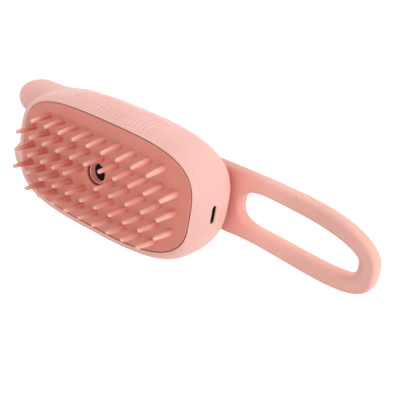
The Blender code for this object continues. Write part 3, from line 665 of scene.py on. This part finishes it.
def outside_rings(angles):
    """Rings of the outside, rim to back, with the swell under the rim, the ribs and the ears."""
    rings = []
    rim = pad_edge(RIM_START, angles)
    for depth in outer_depths():
        edge = outline(*section(depth), angles)
        if depth < BULGE_DEPTH:
            rise = 1 - depth / BULGE_DEPTH
            lean = rise ** 6
            edge = edge * (1 - lean) + rim * lean
            swell = rise ** 1.5 * min(depth / RIM_SWELL_START, 1.0) ** 0.5
            edge[:, 0] -= FAR_RIM_OUT * swell * np.clip(-np.cos(angles), 0, 1) ** 0.7
            edge[:, 1] -= SIDE_RIM_OUT * swell * np.clip(-np.sin(angles), 0, 1) ** 0.7
        rings.append(at_height(edge, FACE_Z - depth))
    rings = grow_ears(cut_ribs(np.array(rings)))
    anchors = [int(np.argmin(np.abs(angles - math.radians(degrees)))) for degrees in EAR_ARC]
    return np.array([even_out(ring, anchors) for ring in rings])


def inside_rings(angles):
    """Rings of the back opening, the inside of the wall and the ledge under the pad, going up."""
    rings = []
    half_length, half_width, exponent = section(BODY_DEPTH)
    for inset, height in in_mm((2.3, 0.0), (2.6, 0.3), (2.6, 2.0)):
        edge = outline(half_length - inset, half_width - inset, exponent, angles)
        rings.append(at_height(edge, SHELL_LOW.z + height))
    for depth in (30.5, 27.0, 22.0, 16.0, 10.0, 6.5, 5.0):
        half_length, half_width, exponent = section(depth * MM)
        edge = outline(half_length - WALL, half_width - WALL, exponent, angles)
        rings.append(at_height(edge, FACE_Z - depth * MM))
    ledge = pad_edge(-LEDGE_WIDTH, angles)
    rings.append(at_height(ledge, FACE_Z - LEDGE_DEPTH - WALL))
    rings.append(at_height(ledge, FACE_Z - LEDGE_DEPTH))
    return np.array(rings)


def cut_openings(shell):
    """The charging slot in the end wall, and the filler's boss, pocket and bore in the -Y side."""
    slot = prism("slot_cutter", stadium(*PORT_CUT), -7 * MM, 7 * MM)
    slot.matrix_world = towards_x(SOCKET_HIGH.x + 3 * MM, PORT.y, PORT.z)
    boolean(shell, slot, "DIFFERENCE")
    boss = prism("boss", stadium(*FILLER_BOSS), 0.05 * MM, 2.4 * MM)
    boss.matrix_world = towards_minus_y(PLUG.x, FILLER_SEAT_Y, PLUG.z) @ Matrix.Rotation(math.pi, 4, "X")
    boolean(shell, boss, "UNION")
    pocket = prism("pocket", stadium(*FILLER_POCKET, 24), 0.0, 8 * MM, 0.25 * MM)
    pocket.matrix_world = towards_minus_y(PLUG.x + 0.5 * MM, FILLER_SEAT_Y, PLUG.z)
    boolean(shell, pocket, "DIFFERENCE")
    reach = 10 * MM
    bore_profile = [(0.0, reach), (FILLER_BORE_RADIUS, reach), (FILLER_BORE_RADIUS, -reach), (0.0, -reach)]
    bore = turned("bore", bore_profile, sides=48)
    bore.matrix_world = towards_minus_y(PLUG.x, FILLER_SEAT_Y, PLUG.z)
    boolean(shell, bore, "DIFFERENCE")


def housing():
    angles = shell_angles()
    rows = np.concatenate([rim_rings(angles), outside_rings(angles), inside_rings(angles)])
    shell = loft("housing_shell", rows, tube=True)
    cut_openings(shell)
    fix_shading(shell)
    stands_for(shell, SHELL, "housing", "shell", "front_shell")


# ---------------- pad and bristles

PAD_CROWN = 0.5 * MM
PAD_ROUND_EDGE = 0.4 * MM
NOZZLE_HOLE_RADIUS = 6.1 * MM

BRISTLE_PITCH = 9.5 * MM
ROW_PITCH = 9.8 * MM
OUTER_ROW = 2
INNER_REACH = 5
OUTER_REACH = 4
OUTER_ROW_DRAWN_IN = 0.03
ROW_LEAN = math.radians(2.15)
ALL_LEAN = math.radians(2.1)
BRISTLE_LENGTH = 12.65 * MM
BRISTLE_BASE_RADIUS = 1.75 * MM
BRISTLE_TIP_RADIUS = 1.0 * MM
BRISTLE_TAPER = 0.92
BRISTLE_SUNK = 0.8 * MM


def pad_height(y):
    return FACE_Z + PAD_CROWN * (1 - 2 * (y / PAD_HALF_WIDTH) ** 2) / 2


def nozzle_gap(column):
    """How far towards -X a bristle of the middle row stands from its place, to leave room for the nozzle."""
    if column in (-1, -2):
        return (3 + column) * 1.5 * MM
    if column in (1, 2):
        return 1.0 * MM
    return 0.0


def bristle_places():
    """Five rows of up to eleven; the corners are left out, and the middle row parts round the nozzle."""
    places = []
    for row in range(-OUTER_ROW, OUTER_ROW + 1):
        outer = abs(row) == OUTER_ROW
        reach = OUTER_REACH if outer else INNER_REACH
        for column in range(-reach, reach + 1):
            x = column * BRISTLE_PITCH
            y = row * ROW_PITCH
            if row == 0:
                x -= nozzle_gap(column)
            if outer:
                y *= 1 - OUTER_ROW_DRAWN_IN * (abs(column) / OUTER_REACH) ** 3
            if (row, column) != (0, 0):
                places.append((x, y))
    return places


def bristle_rows(x, y, sides=28):
    """Rings of one tapered bristle from its sunk foot to its rounded tip.

    It leans towards the middle row, and a little towards -Y.
    """
    lean = ALL_LEAN + ROW_LEAN * y / ROW_PITCH
    up = np.array((0.0, -math.sin(lean), math.cos(lean)))
    side = np.array((0.0, math.cos(lean), math.sin(lean)))
    foot = np.array((x, y, pad_height(y)))
    stations = [(-BRISTLE_SUNK, BRISTLE_BASE_RADIUS)]
    body = BRISTLE_LENGTH - BRISTLE_TIP_RADIUS
    for step in range(9):
        share = step / 8
        thinner = (BRISTLE_TIP_RADIUS - BRISTLE_BASE_RADIUS) * share ** BRISTLE_TAPER
        stations.append((body * share, BRISTLE_BASE_RADIUS + thinner))
    for step in range(1, 6):
        turn = QUARTER * step / 6
        stations.append((body + BRISTLE_TIP_RADIUS * math.sin(turn), BRISTLE_TIP_RADIUS * math.cos(turn)))
    angles = np.linspace(0, 2 * math.pi, sides, endpoint=False)
    rows = []
    for along, radius in stations:
        ring = foot + up * along
        ring = ring + np.outer(np.cos(angles), (1, 0, 0)) * radius + np.outer(np.sin(angles), side) * radius
        rows.append(ring)
    return np.array(rows)


def all_bristles():
    points = []
    faces = []
    for x, y in bristle_places():
        rows = bristle_rows(x, y)
        rings, count = rows.shape[:2]
        faces.extend(ring_faces(rings, count, base=len(points)))
        points.extend(map(tuple, rows.reshape(-1, 3)))
    return new_mesh("bristles", points, faces)


def bristle_pad():
    """The crowned pad with its nozzle hole, its edges rounded, and the bristles joined on."""
    angles = np.linspace(0, 2 * math.pi, 360, endpoint=False)
    hole_centre = np.array((NOZZLE.x, NOZZLE.y))

    def hole(radius):
        return hole_centre + radius * np.stack([np.cos(angles), np.sin(angles)], axis=-1)

    def on_top(flat, drop=0.0):
        return at_height(flat, pad_height(flat[:, 1]) - drop)

    inner = hole(NOZZLE_HOLE_RADIUS + PAD_ROUND_EDGE)
    outer = pad_edge(-PAD_ROUND_EDGE, angles)
    rows = [on_top(inner + (outer - inner) * share) for share in np.linspace(0, 1, 34)]
    for step in range(1, 6):
        turn = QUARTER * step / 5
        edge = pad_edge(-(PAD_ROUND_EDGE * (1 - math.sin(turn))), angles)
        rows.append(on_top(edge, PAD_ROUND_EDGE * (1 - math.cos(turn))))
    rows.append(at_height(pad_edge(0.0, angles), PAD_LOW.z))
    rows.append(at_height(hole(NOZZLE_HOLE_RADIUS), PAD_LOW.z))
    for step in range(0, 5):
        turn = QUARTER * step / 5
        edge = hole(NOZZLE_HOLE_RADIUS + PAD_ROUND_EDGE * (1 - math.cos(turn)))
        rows.append(on_top(edge, PAD_ROUND_EDGE * (1 - math.sin(turn))))
    pad = loft("bristle_pad_silicone", rows, tube=True)
    boolean(pad, all_bristles(), "UNION")
    fix_shading(pad)
    stands_for(pad, PAD, "housing", "pad", "bristle_pad")


# ---------------- handle

HANDLE_MID_Z = 3.9 * MM
HANDLE_THICKNESS = 7.4 * MM
HANDLE_EDGE = 2.0 * MM
HANDLE_POINTS = 520
HANDLE_EDGE_STEPS = 16
HANDLE_FACE_STEPS = 13
HANDLE_ROOT_HALF = HUB.x - HANDLE_LOW.x
HANDLE_TIP_HALF = HANDLE_HIGH.y
HANDLE_FLARE = 1.1 * MM
HANDLE_FLARE_END = 74.0 * MM
HANDLE_FLARE_LENGTH = 20.0 * MM
HANDLE_END_LENGTH = 46.8 * MM
HANDLE_END_EXPONENT = 2.7
HANDLE_BOW = 1.65
HANDLE_BOW_START = 56.0 * MM
SLOT_START_X = 59.3 * MM
SLOT_END_X = 131.0 * MM
SLOT_HALF = 8.95 * MM
SLOT_EXPONENT = 2.7
SLOT_START_LENGTH = 15.6 * MM
SLOT_END_LENGTH = 43.2 * MM
PIVOT_BORE_RADIUS = 5.2 * MM
HUB_RECESS_RADIUS = 9.3 * MM
HUB_RECESS_CHAMFER = 0.4 * MM
HUB_RECESS_TOP = 2.9 * MM


def evenly(points, count):
    """A closed line spread into evenly spaced points, starting where it starts."""
    loop = np.vstack([points, points[:1]])
    gone = distance_along(loop)
    wanted = np.linspace(0, gone[-1], count, endpoint=False)
    return np.stack([np.interp(wanted, gone, loop[:, axis]) for axis in (0, 1)], axis=-1)


def handle_outline():
    """The round tip, straight sides down to the round root, and a flare on the -Y side."""
    half_turn = np.linspace(-QUARTER, QUARTER, 121)
    tip_start = HANDLE_HIGH.x - HANDLE_END_LENGTH
    tip = outline(HANDLE_END_LENGTH, HANDLE_TIP_HALF, HANDLE_END_EXPONENT, half_turn, tip_start)
    root = outline(HANDLE_ROOT_HALF, HANDLE_ROOT_HALF, 2.0, half_turn + math.pi, HUB.x)
    x = np.linspace(tip_start, HUB.x, 80)[1:-1]
    half = HANDLE_ROOT_HALF + (HANDLE_TIP_HALF - HANDLE_ROOT_HALF) * (x - HUB.x) / (tip_start - HUB.x)
    flare = np.clip((HANDLE_FLARE_END - x) / HANDLE_FLARE_LENGTH, 0, 1) ** 2
    flared = half + HANDLE_FLARE * flare * eased((x - HUB.x) / (8 * MM))
    return np.vstack([tip, np.stack([x, half], axis=-1), root, np.stack([x, -flared], axis=-1)[::-1]])


def slot_outline():
    half_turn = np.linspace(-QUARTER, QUARTER, 121)
    end = outline(SLOT_END_LENGTH, SLOT_HALF, SLOT_EXPONENT, half_turn, SLOT_END_X - SLOT_END_LENGTH)
    start = outline(
        SLOT_START_LENGTH, SLOT_HALF, SLOT_EXPONENT, half_turn + math.pi, SLOT_START_X + SLOT_START_LENGTH
    )
    return np.vstack([end, start])


def offset(points, inset):
    """A closed line moved towards its inside by inset."""
    ahead = np.roll(points, -1, axis=0) - np.roll(points, 1, axis=0)
    normal = np.stack([-ahead[:, 1], ahead[:, 0]], axis=-1)
    normal /= np.linalg.norm(normal, axis=1, keepdims=True)
    return points + normal * inset


def bowed(points, height):
    """Points at a height over the handle's middle plane, which rises towards the tip."""
    rise = HANDLE_BOW * np.maximum(points[:, 0] - HANDLE_BOW_START, 0.0) ** 2
    return at_height(points, HANDLE_MID_Z + height + rise)


def loop_handle():
    """The loop: rounded outer edge, flat faces and rounded slot edge in one sweep, bored for its pivot."""
    outside = evenly(handle_outline(), HANDLE_POINTS)
    inside = evenly(slot_outline(), HANDLE_POINTS)
    flat = HANDLE_THICKNESS / 2
    outer_rows = []
    inner_rows = []
    for step in range(HANDLE_EDGE_STEPS + 1):
        turn = math.pi * step / HANDLE_EDGE_STEPS - QUARTER
        inset = HANDLE_EDGE * (1 - math.cos(turn))
        height = (flat - HANDLE_EDGE) * math.copysign(1, turn) + HANDLE_EDGE * math.sin(turn)
        if step == HANDLE_EDGE_STEPS // 2:
            height = 0.0
        outer_rows.append(bowed(offset(outside, inset), height))
        inner_rows.append(bowed(offset(inside, -inset), height))
    across_top = []
    across_bottom = []
    for share in np.linspace(0, 1, HANDLE_FACE_STEPS + 1)[1:-1]:
        over = outer_rows[-1] * (1 - share) + inner_rows[-1] * share
        under = inner_rows[0] * (1 - share) + outer_rows[0] * share
        across_top.append(bowed(over[:, :2], flat))
        across_bottom.append(bowed(under[:, :2], -flat))
    loop = loft("loop_handle", outer_rows + across_top + inner_rows[::-1] + across_bottom, tube=True)
    below = -5 * MM
    above = 15 * MM
    bore = [(0.0, above), (PIVOT_BORE_RADIUS, above), (PIVOT_BORE_RADIUS, below), (0.0, below)]
    boolean(loop, turned("bore", bore, (HUB.x, 0, 0), 72), "DIFFERENCE")
    mouth = HUB_RECESS_RADIUS + HUB_RECESS_CHAMFER
    recess = [
        (0.0, HUB_RECESS_TOP), (HUB_RECESS_RADIUS, HUB_RECESS_TOP), (HUB_RECESS_RADIUS, 0.6 * MM),
        (mouth, 0.2 * MM), (mouth, below), (0.0, below),
    ]
    boolean(loop, turned("recess", recess, (HUB.x, 0, 0)), "DIFFERENCE")
    fix_shading(loop)
    stands_for(loop, HANDLE, "handle", "handle", "handle")


def hub_cap():
    """A flat cap with a rounded rim, a fine ring groove in its face and a recess behind it."""
    profile = in_mm((0.0, 0.5), (3.4, 0.5), (3.4, 1.4))
    profile += rounded(in_mm((8.9, 1.4, 0.0), (8.9, 0.1, 0.45), (6.0, 0.1, 0.0)), 5)
    profile += in_mm((5.9, 0.3), (5.5, 0.3), (5.4, 0.1), (0.0, 0.1))
    cap = turned("handle_hub_cap", profile, (HUB.x, HUB.y, 0.0))
    stands_for(cap, HANDLE, "handle", "handle", "hub_cap")


# ---------------- nozzle

NOZZLE_LIP_DEPTH = 1.1 * MM
RING_RADIUS = 5.45 * MM
RING_BORE_RADIUS = 4.9 * MM
RING_MOUTH_RADIUS = 4.55 * MM
NOTCH_HALF = (0.7 * MM, 0.6 * MM)
NOTCH_PLACE = 4.6 * MM
THROAT_RADIUS = 4.85 * MM


def nozzle_ring():
    """A stepped funnel ring with two notches for a fingernail or coin."""
    lip = FACE_Z - NOZZLE_LIP_DEPTH
    top = CAP_HIGH.z
    low = CAP_LOW.z
    fine = 0.1 * MM
    soft = 0.15 * MM
    corners = [
        (4.8 * MM, lip - 0.15 * MM, fine), (5.1 * MM, lip, soft), (RING_RADIUS, lip - 0.2 * MM, soft),
        (RING_RADIUS, low, fine), (RING_BORE_RADIUS, low, fine), (RING_BORE_RADIUS, top - 1.5 * MM, fine),
        (RING_MOUTH_RADIUS, top - 1.2 * MM, fine), (RING_MOUTH_RADIUS, top - 0.5 * MM, soft),
        (4.75 * MM, top - 0.2 * MM, fine),
    ]
    ring = turned("nozzle_ring", rounded(corners, 4), (NOZZLE.x, NOZZLE.y, 0.0), 120)
    for side in (-1, 1):
        notch = prism("notch", rectangle(*NOTCH_HALF), lip - 0.6 * MM, lip + 1 * MM, 0.2 * MM)
        notch.location = (NOZZLE.x, NOZZLE.y + side * NOTCH_PLACE, 0.0)
        boolean(ring, notch, "DIFFERENCE")
    fix_shading(ring)
    stands_for(ring, NOZZLE_RING, "nozzle", "nozzle", "nozzle_cap")


def nozzle_throat():
    """The dark stepped liner inside the nozzle ring, a detail that no CAD node has; its near-black colour is
    painted shade for the deep hole.
    """
    top = CAP_HIGH.z
    low = CAP_LOW.z
    fine = 0.1 * MM
    soft = 0.2 * MM
    corners = [
        (RING_MOUTH_RADIUS, top - 1.25 * MM, fine), (THROAT_RADIUS, top - 1.6 * MM, fine),
        (THROAT_RADIUS, low, fine), (3.2 * MM, low, 0.15 * MM), (3.2 * MM, low + 0.6 * MM, soft),
        (3.9 * MM, low + 0.6 * MM, fine), (3.9 * MM, low + 1.2 * MM, soft), (4.35 * MM, low + 1.2 * MM, fine),
    ]
    liner = turned("nozzle_throat", rounded(corners, 4), (NOZZLE.x, NOZZLE.y, 0.0), 120)
    dress(liner, PAINTED_SHADE_THROAT)
    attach(liner, "nozzle")


# ---------------- back cover

PLATE_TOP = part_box("back_cover")[1].z
PLATE_Z = PLATE_TOP - 2.0 * MM
PLATE_GAP = 2.95 * MM
PLATEAU_HALF = (27.0 * MM, 17.0 * MM)
PLATEAU_X = -13.0 * MM
PLATEAU_EXPONENT = 3.2
PLATEAU_ROUNDING = 3.0 * MM
PLATEAU_FILLET = 1.2 * MM
HUB_BOSS_RADIUS = 10.85 * MM
HUB_BOSS_HEIGHT = 1.4 * MM
PIVOT_HOLE_RADIUS = 2.4 * MM
BUTTON_HOLE_RADIUS = 6.3 * MM
LAMP_HOLE_RADIUS = 1.5 * MM
SCREW_HOLE_RADIUS = 1.6 * MM
HAIR = 0.01 * MM


def drilled(cover, profile, x, y, sides=96):
    boolean(cover, turned("drill", profile, (x, y, 0.0), sides), "DIFFERENCE", "MANIFOLD")


def chamfered_drill(radius, chamfer):
    """The profile of a drill up through the plateau's face, which is at height 0."""
    wide = radius + chamfer + HAIR
    return [
        (0.0, 5 * MM), (radius, 5 * MM), (radius, chamfer), (wide, -HAIR), (wide, -6 * MM), (0.0, -6 * MM),
    ]


def back_plate():
    """The closing plate: a flat rim, a filleted plateau hollow behind, the handle's boss and the holes."""
    angles = np.linspace(0, 2 * math.pi, 320, endpoint=False)
    half_length, half_width, exponent = section(BODY_DEPTH)

    def plate(inset, height):
        return at_height(outline(half_length - inset, half_width - inset, exponent, angles), height)

    def plateau(inset, height):
        flat = outline(PLATEAU_HALF[0] - inset, PLATEAU_HALF[1] - inset, PLATEAU_EXPONENT, angles, PLATEAU_X)
        return at_height(flat, height)

    rows = [plateau(*step) for step in in_mm((8, 2.0), (5, 2.0), (3.2, 2.6), (2.0, 4.0))]
    rows += [
        plateau(2.0 * MM, PLATE_TOP), plate(PLATE_GAP, PLATE_TOP), plate(PLATE_GAP, PLATE_Z + 0.3 * MM),
        plate(PLATE_GAP + 0.1 * MM, PLATE_Z + 0.1 * MM), plate(PLATE_GAP + 0.3 * MM, PLATE_Z),
    ]
    for step in range(7):
        turn = QUARTER * step / 6
        spread = PLATEAU_FILLET * (1 - math.sin(turn))
        rows.append(plateau(-spread, PLATE_Z - PLATEAU_FILLET * (1 - math.cos(turn))))
    for step in range(1, 9):
        turn = QUARTER * step / 8
        inset = PLATEAU_ROUNDING * (1 - math.cos(turn))
        rows.append(plateau(inset, PLATEAU_ROUNDING * (1 - math.sin(turn))))
    rows.append(plateau(8 * MM, 0.0))
    cover = loft("back_plate", rows)

    boss_low = PLATE_Z - HUB_BOSS_HEIGHT
    boss_profile = [
        (0.0, PLATE_Z + 0.5 * MM), (HUB_BOSS_RADIUS, PLATE_Z + 0.5 * MM),
        (HUB_BOSS_RADIUS, boss_low + 0.3 * MM), (HUB_BOSS_RADIUS - 0.25 * MM, boss_low), (0.0, boss_low),
    ]
    boolean(cover, turned("boss", boss_profile, (HUB.x, 0, 0)), "UNION", "MANIFOLD")

    below = -6 * MM
    above = 15 * MM
    pivot_hole = [(0.0, above), (PIVOT_HOLE_RADIUS, above), (PIVOT_HOLE_RADIUS, below), (0.0, below)]
    drilled(cover, pivot_hole, HUB.x, 0.0)
    drilled(cover, chamfered_drill(BUTTON_HOLE_RADIUS, 0.35 * MM), BUTTON.x, 0.0)
    drilled(cover, chamfered_drill(LAMP_HOLE_RADIUS, 0.2 * MM), LAMP.x, 0.0)
    wide = SCREW_HOLE_RADIUS + 0.4 * MM
    screw_hole = [
        (0.0, above), (SCREW_HOLE_RADIUS, above), (SCREW_HOLE_RADIUS, PLATE_Z + 0.4 * MM),
        (wide, PLATE_Z - HAIR), (wide, 5 * MM), (0.0, 5 * MM),
    ]
    for low, high in SCREW_BOXES:
        place = middle(low, high)
        drilled(cover, screw_hole, place.x, place.y, 48)
    fix_shading(cover, 35.0)
    stands_for(cover, SHELL, "housing", "shell", "back_cover")


SCREW_HEAD_RADIUS = 2.3 * MM
SCREW_SHANK_RADIUS = 0.9 * MM
SCREW_DOME = 1.1 * MM
CROSS_HALF = 0.95 * MM


def cross_recess(obj, x, y, low, size):
    narrow = size * 0.22
    for half in ((size, narrow), (narrow, size)):
        blade = prism("blade", rectangle(*half), low - 1 * MM, low + 0.8 * MM, 0.02 * MM, 1)
        blade.location = (x, y, 0.0)
        boolean(obj, blade, "DIFFERENCE")


def case_screws():
    """Domed cross-head screws with pointed shanks."""
    head_top = PLATE_Z - 0.3 * MM
    for number, (low, high) in enumerate(SCREW_BOXES, start=1):
        place = middle(low, high)
        profile = [
            (0.0, high.z), (SCREW_SHANK_RADIUS, high.z - 0.8 * MM), (SCREW_SHANK_RADIUS, head_top),
            (SCREW_HEAD_RADIUS, head_top),
        ]
        for step in range(1, 7):
            turn = QUARTER * step / 6
            radius = SCREW_HEAD_RADIUS - SCREW_DOME * (1 - math.cos(turn))
            profile.append((radius, head_top - (head_top - low.z) * math.sin(turn)))
        profile.append((0.0, low.z))
        screw = turned(f"cover_screw_{number}", profile, (place.x, place.y, 0.0), 48)
        cross_recess(screw, place.x, place.y, low.z, CROSS_HALF)
        fix_shading(screw, 30.0)
        stands_for(screw, STEEL, "housing", "steel", f"case_screw_{number}")


BUTTON_RADIUS = 6.0 * MM
BUTTON_EDGE = 0.7 * MM
BUTTON_DISH = 0.35 * MM
BUTTON_FLANGE = 7.0 * MM
BUTTON_STEM = 2.5 * MM


def button():
    """A button with a rounded edge, a shallow dish in its face, and a flange and stem behind it."""
    face = BUTTON_LOW.z
    flat = BUTTON_RADIUS - BUTTON_EDGE
    profile = [
        (0.0, BUTTON_HIGH.z), (BUTTON_STEM, BUTTON_HIGH.z), (BUTTON_STEM, 3.1 * MM),
        (BUTTON_FLANGE, 3.1 * MM), (BUTTON_FLANGE, 2.3 * MM), (BUTTON_RADIUS, 2.3 * MM),
    ]
    for step in range(7):
        turn = QUARTER * step / 6
        radius = BUTTON_RADIUS - BUTTON_EDGE * (1 - math.cos(turn))
        profile.append((radius, face + BUTTON_EDGE * (1 - math.sin(turn))))
    for step in range(1, 13):
        away = flat * (1 - step / 12)
        profile.append((away, face + BUTTON_DISH * (1 - (away / flat) ** 2)))
    cap = turned("power_button_cap", profile, (BUTTON.x, BUTTON.y, 0.0))
    stands_for(cap, HANDLE, "button", "shell", "power_button")


# ---------------- filler and charging port

FLAP_THICKNESS = 1.6 * MM
STEM_LENGTH = 3.2 * MM
DIMPLE_PLACE = 3.4 * MM
LINER_INSET = 0.55 * MM
LINER = (9.3 * MM, 1.6 * MM)
PORT_MOUTH = (8.5 * MM, 1.12 * MM)
TONGUE_HALF = (3.35 * MM, 0.35 * MM)


def filler_flap():
    """The silicone flap with softened edges, a fingertip dimple at its free end and a stem in the filler."""
    inner_y = PLUG_LOW.y + FLAP_THICKNESS
    radius = (PLUG_HIGH.z - PLUG_LOW.z) / 2
    shape = stadium(PLUG_HIGH.x - PLUG_LOW.x, radius, 24)
    flap = prism("filler_flap", shape, 0.0, FLAP_THICKNESS, 0.45 * MM, 6)
    flap.data.transform(towards_minus_y(PLUG.x, inner_y, PLUG.z))
    stem_profile = in_mm(
        (0.0, 0.4), (3.2, 0.4), (3.2, -1.2), (3.45, -1.7), (3.2, -2.2), (2.6, -3.0), (0.0, -3.2)
    )
    stem = turned("stem", stem_profile, sides=48)
    stretch = Matrix.Scale((PLUG_HIGH.y - inner_y) / STEM_LENGTH, 4, (0, 0, 1))
    stem.matrix_world = towards_minus_y(PLUG.x, inner_y, PLUG.z) @ stretch
    boolean(flap, stem, "UNION")
    dimple_profile = in_mm((0.0, 1.0), (2.2, 1.0), (2.2, 0.1), (1.6, -0.3), (0.0, -0.45))
    dimple = turned("dimple", dimple_profile, sides=48)
    dimple.matrix_world = towards_minus_y(PLUG_LOW.x + DIMPLE_PLACE, PLUG_LOW.y, PLUG.z)
    boolean(flap, dimple, "DIFFERENCE")
    fix_shading(flap)
    stands_for(flap, SOFT_PINK, "filler", "soft_pink", "filler_plug")


def charging_port():
    """A socket shell with its tongue, and a liner that carries its mouth out through the housing's slot. All
    of it is near-black rather than steel: painted shade that keeps the slot dark.
    """
    width = SOCKET_HIGH.y - SOCKET_LOW.y
    height = SOCKET_HIGH.z - SOCKET_LOW.z
    length = SOCKET_HIGH.x - SOCKET_LOW.x
    liner_end = SHELL_HIGH.x - SOCKET_LOW.x - LINER_INSET
    shell = prism("charging_port", stadium(width, height / 2 - 0.02 * MM), 0.0, length, 0.1 * MM, 3)
    liner = prism("liner", stadium(*LINER), length - 1 * MM, liner_end, 0.1 * MM, 3)
    boolean(shell, liner, "UNION")
    mouth = prism("mouth", stadium(*PORT_MOUTH), 1.0 * MM, liner_end + 2 * MM, 0.02 * MM, 1)
    boolean(shell, mouth, "DIFFERENCE")
    tongue = prism("tongue", rectangle(*TONGUE_HALF), 0.5 * MM, length - 1.0 * MM, 0.1 * MM, 2)
    boolean(shell, tongue, "UNION")
    shell.data.transform(towards_x(SOCKET_LOW.x, PORT.y, PORT.z))
    fix_shading(shell, 30.0)
    stands_for(shell, PAINTED_SHADE_PORT, "housing", "steel", "usb_socket")


# ---------------- carried-over nodes

def dress_inner_nodes():
    coats = {
        CARRIER: ("pad_carrier",),
        INNER: ("pivot_bush", "wick_tube", "tank_lid"),
        STEEL: ("pivot_washer", "pivot_screw", "pivot_nut", "wick_spring", "button_switch"),
        RUBBER: ("nozzle_seal", "atomiser_holder", "tank_seal", "control_chip"),
        BRASS: ("atomiser_disc", "driver_coil"),
        TANK: ("water_tank",),
        LAMP_PLASTIC: ("status_light",),
        BOARD: ("switch_board", "main_board"),
        CELL: ("battery",),
        COTTON: ("wick",),
    }
    for coat, names in coats.items():
        for name in names:
            dress(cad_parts[name], coat)


# ---------------- stage

FLOOR_HALF = 6.0
FLOOR_DROP = 0.4 * MM
WARM_WHITE = (1.0, 0.99, 0.985, 1.0)

CAMERA_LENS = 82.81
CAMERA_TARGET = Vector((60.38 * MM, 11.87 * MM, FACE_Z))
CAMERA_DISTANCE = 412.26 * MM
CAMERA_AZIMUTH = math.radians(38.146)
CAMERA_ELEVATION = math.radians(49.052)
CAMERA_ROLL = math.radians(-110.80)


def studio_floor():
    data = bpy.data.meshes.new("floor")
    corners = [(x, y, -FLOOR_DROP) for x, y in rectangle(FLOOR_HALF, FLOOR_HALF)]
    data.from_pydata(corners, [], [(0, 1, 2, 3)])
    floor = bpy.data.objects.new("floor", data)
    bpy.context.scene.collection.objects.link(floor)
    paper = bpy.data.materials.new("floor_paper")
    paper.use_nodes = True
    shader = paper.node_tree.nodes["Principled BSDF"]
    shader.inputs["Base Color"].default_value = (0.35, 0.35, 0.35, 1.0)
    shader.inputs["Roughness"].default_value = 0.9
    shader.inputs["Specular IOR Level"].default_value = 0.0
    shader.inputs["Emission Color"].default_value = WARM_WHITE
    shader.inputs["Emission Strength"].default_value = 0.9
    data.materials.append(paper)


def softbox(name, place, target, size, power):
    data = bpy.data.lights.new(name, "AREA")
    data.shape = "RECTANGLE"
    data.size = size[0]
    data.size_y = size[1]
    data.energy = power
    lamp = bpy.data.objects.new(name, data)
    lamp.location = place
    lamp.rotation_mode = "QUATERNION"
    lamp.rotation_quaternion = (Vector(target) - Vector(place)).to_track_quat("-Z", "Y")
    bpy.context.scene.collection.objects.link(lamp)


def studio():
    world = bpy.data.worlds.new("studio")
    bpy.context.scene.world = world
    world.use_nodes = True
    background = world.node_tree.nodes["Background"]
    background.inputs["Color"].default_value = WARM_WHITE
    background.inputs["Strength"].default_value = 0.29
    studio_floor()
    softbox("key", (-0.12, 0.85, 0.34), (0.02, 0.0, 0.03), size=(0.8, 0.5), power=1.75)
    softbox("end_fill", (0.90, 0.06, 0.25), (0.05, 0.0, 0.03), size=(0.45, 0.35), power=2.15)
    softbox("far_fill", (-0.85, -0.15, 0.40), (-0.05, 0.0, 0.03), size=(0.6, 0.6), power=1.7)
    softbox("top_fill", (0.36, 0.02, 0.90), (0.07, 0.0, 0.03), size=(0.8, 0.8), power=3.8)


def camera():
    """Looks at a point in the plane of the bristle face, rolled as the photograph is."""
    data = bpy.data.cameras.new("camera")
    data.sensor_fit = "HORIZONTAL"
    data.sensor_width = 36.0
    data.lens = CAMERA_LENS
    data.clip_start = 0.01
    data.clip_end = 30.0
    shooter = bpy.data.objects.new("camera", data)
    heading = Matrix.Rotation(CAMERA_AZIMUTH + QUARTER, 4, "Z")
    tilt = Matrix.Rotation(QUARTER - CAMERA_ELEVATION, 4, "X")
    roll = Matrix.Rotation(CAMERA_ROLL, 4, "Z")
    back_off = Matrix.Translation((0.0, 0.0, CAMERA_DISTANCE))
    shooter.matrix_world = Matrix.Translation(CAMERA_TARGET) @ heading @ tilt @ roll @ back_off
    bpy.context.scene.collection.objects.link(shooter)
    bpy.context.scene.camera = shooter


# ---------------- everything

camera()
studio()
bpy.context.scene.view_settings.view_transform = "Standard"
housing()
bristle_pad()
loop_handle()
hub_cap()
nozzle_ring()
nozzle_throat()
back_plate()
case_screws()
button()
filler_flap()
charging_port()
dress_inner_nodes()
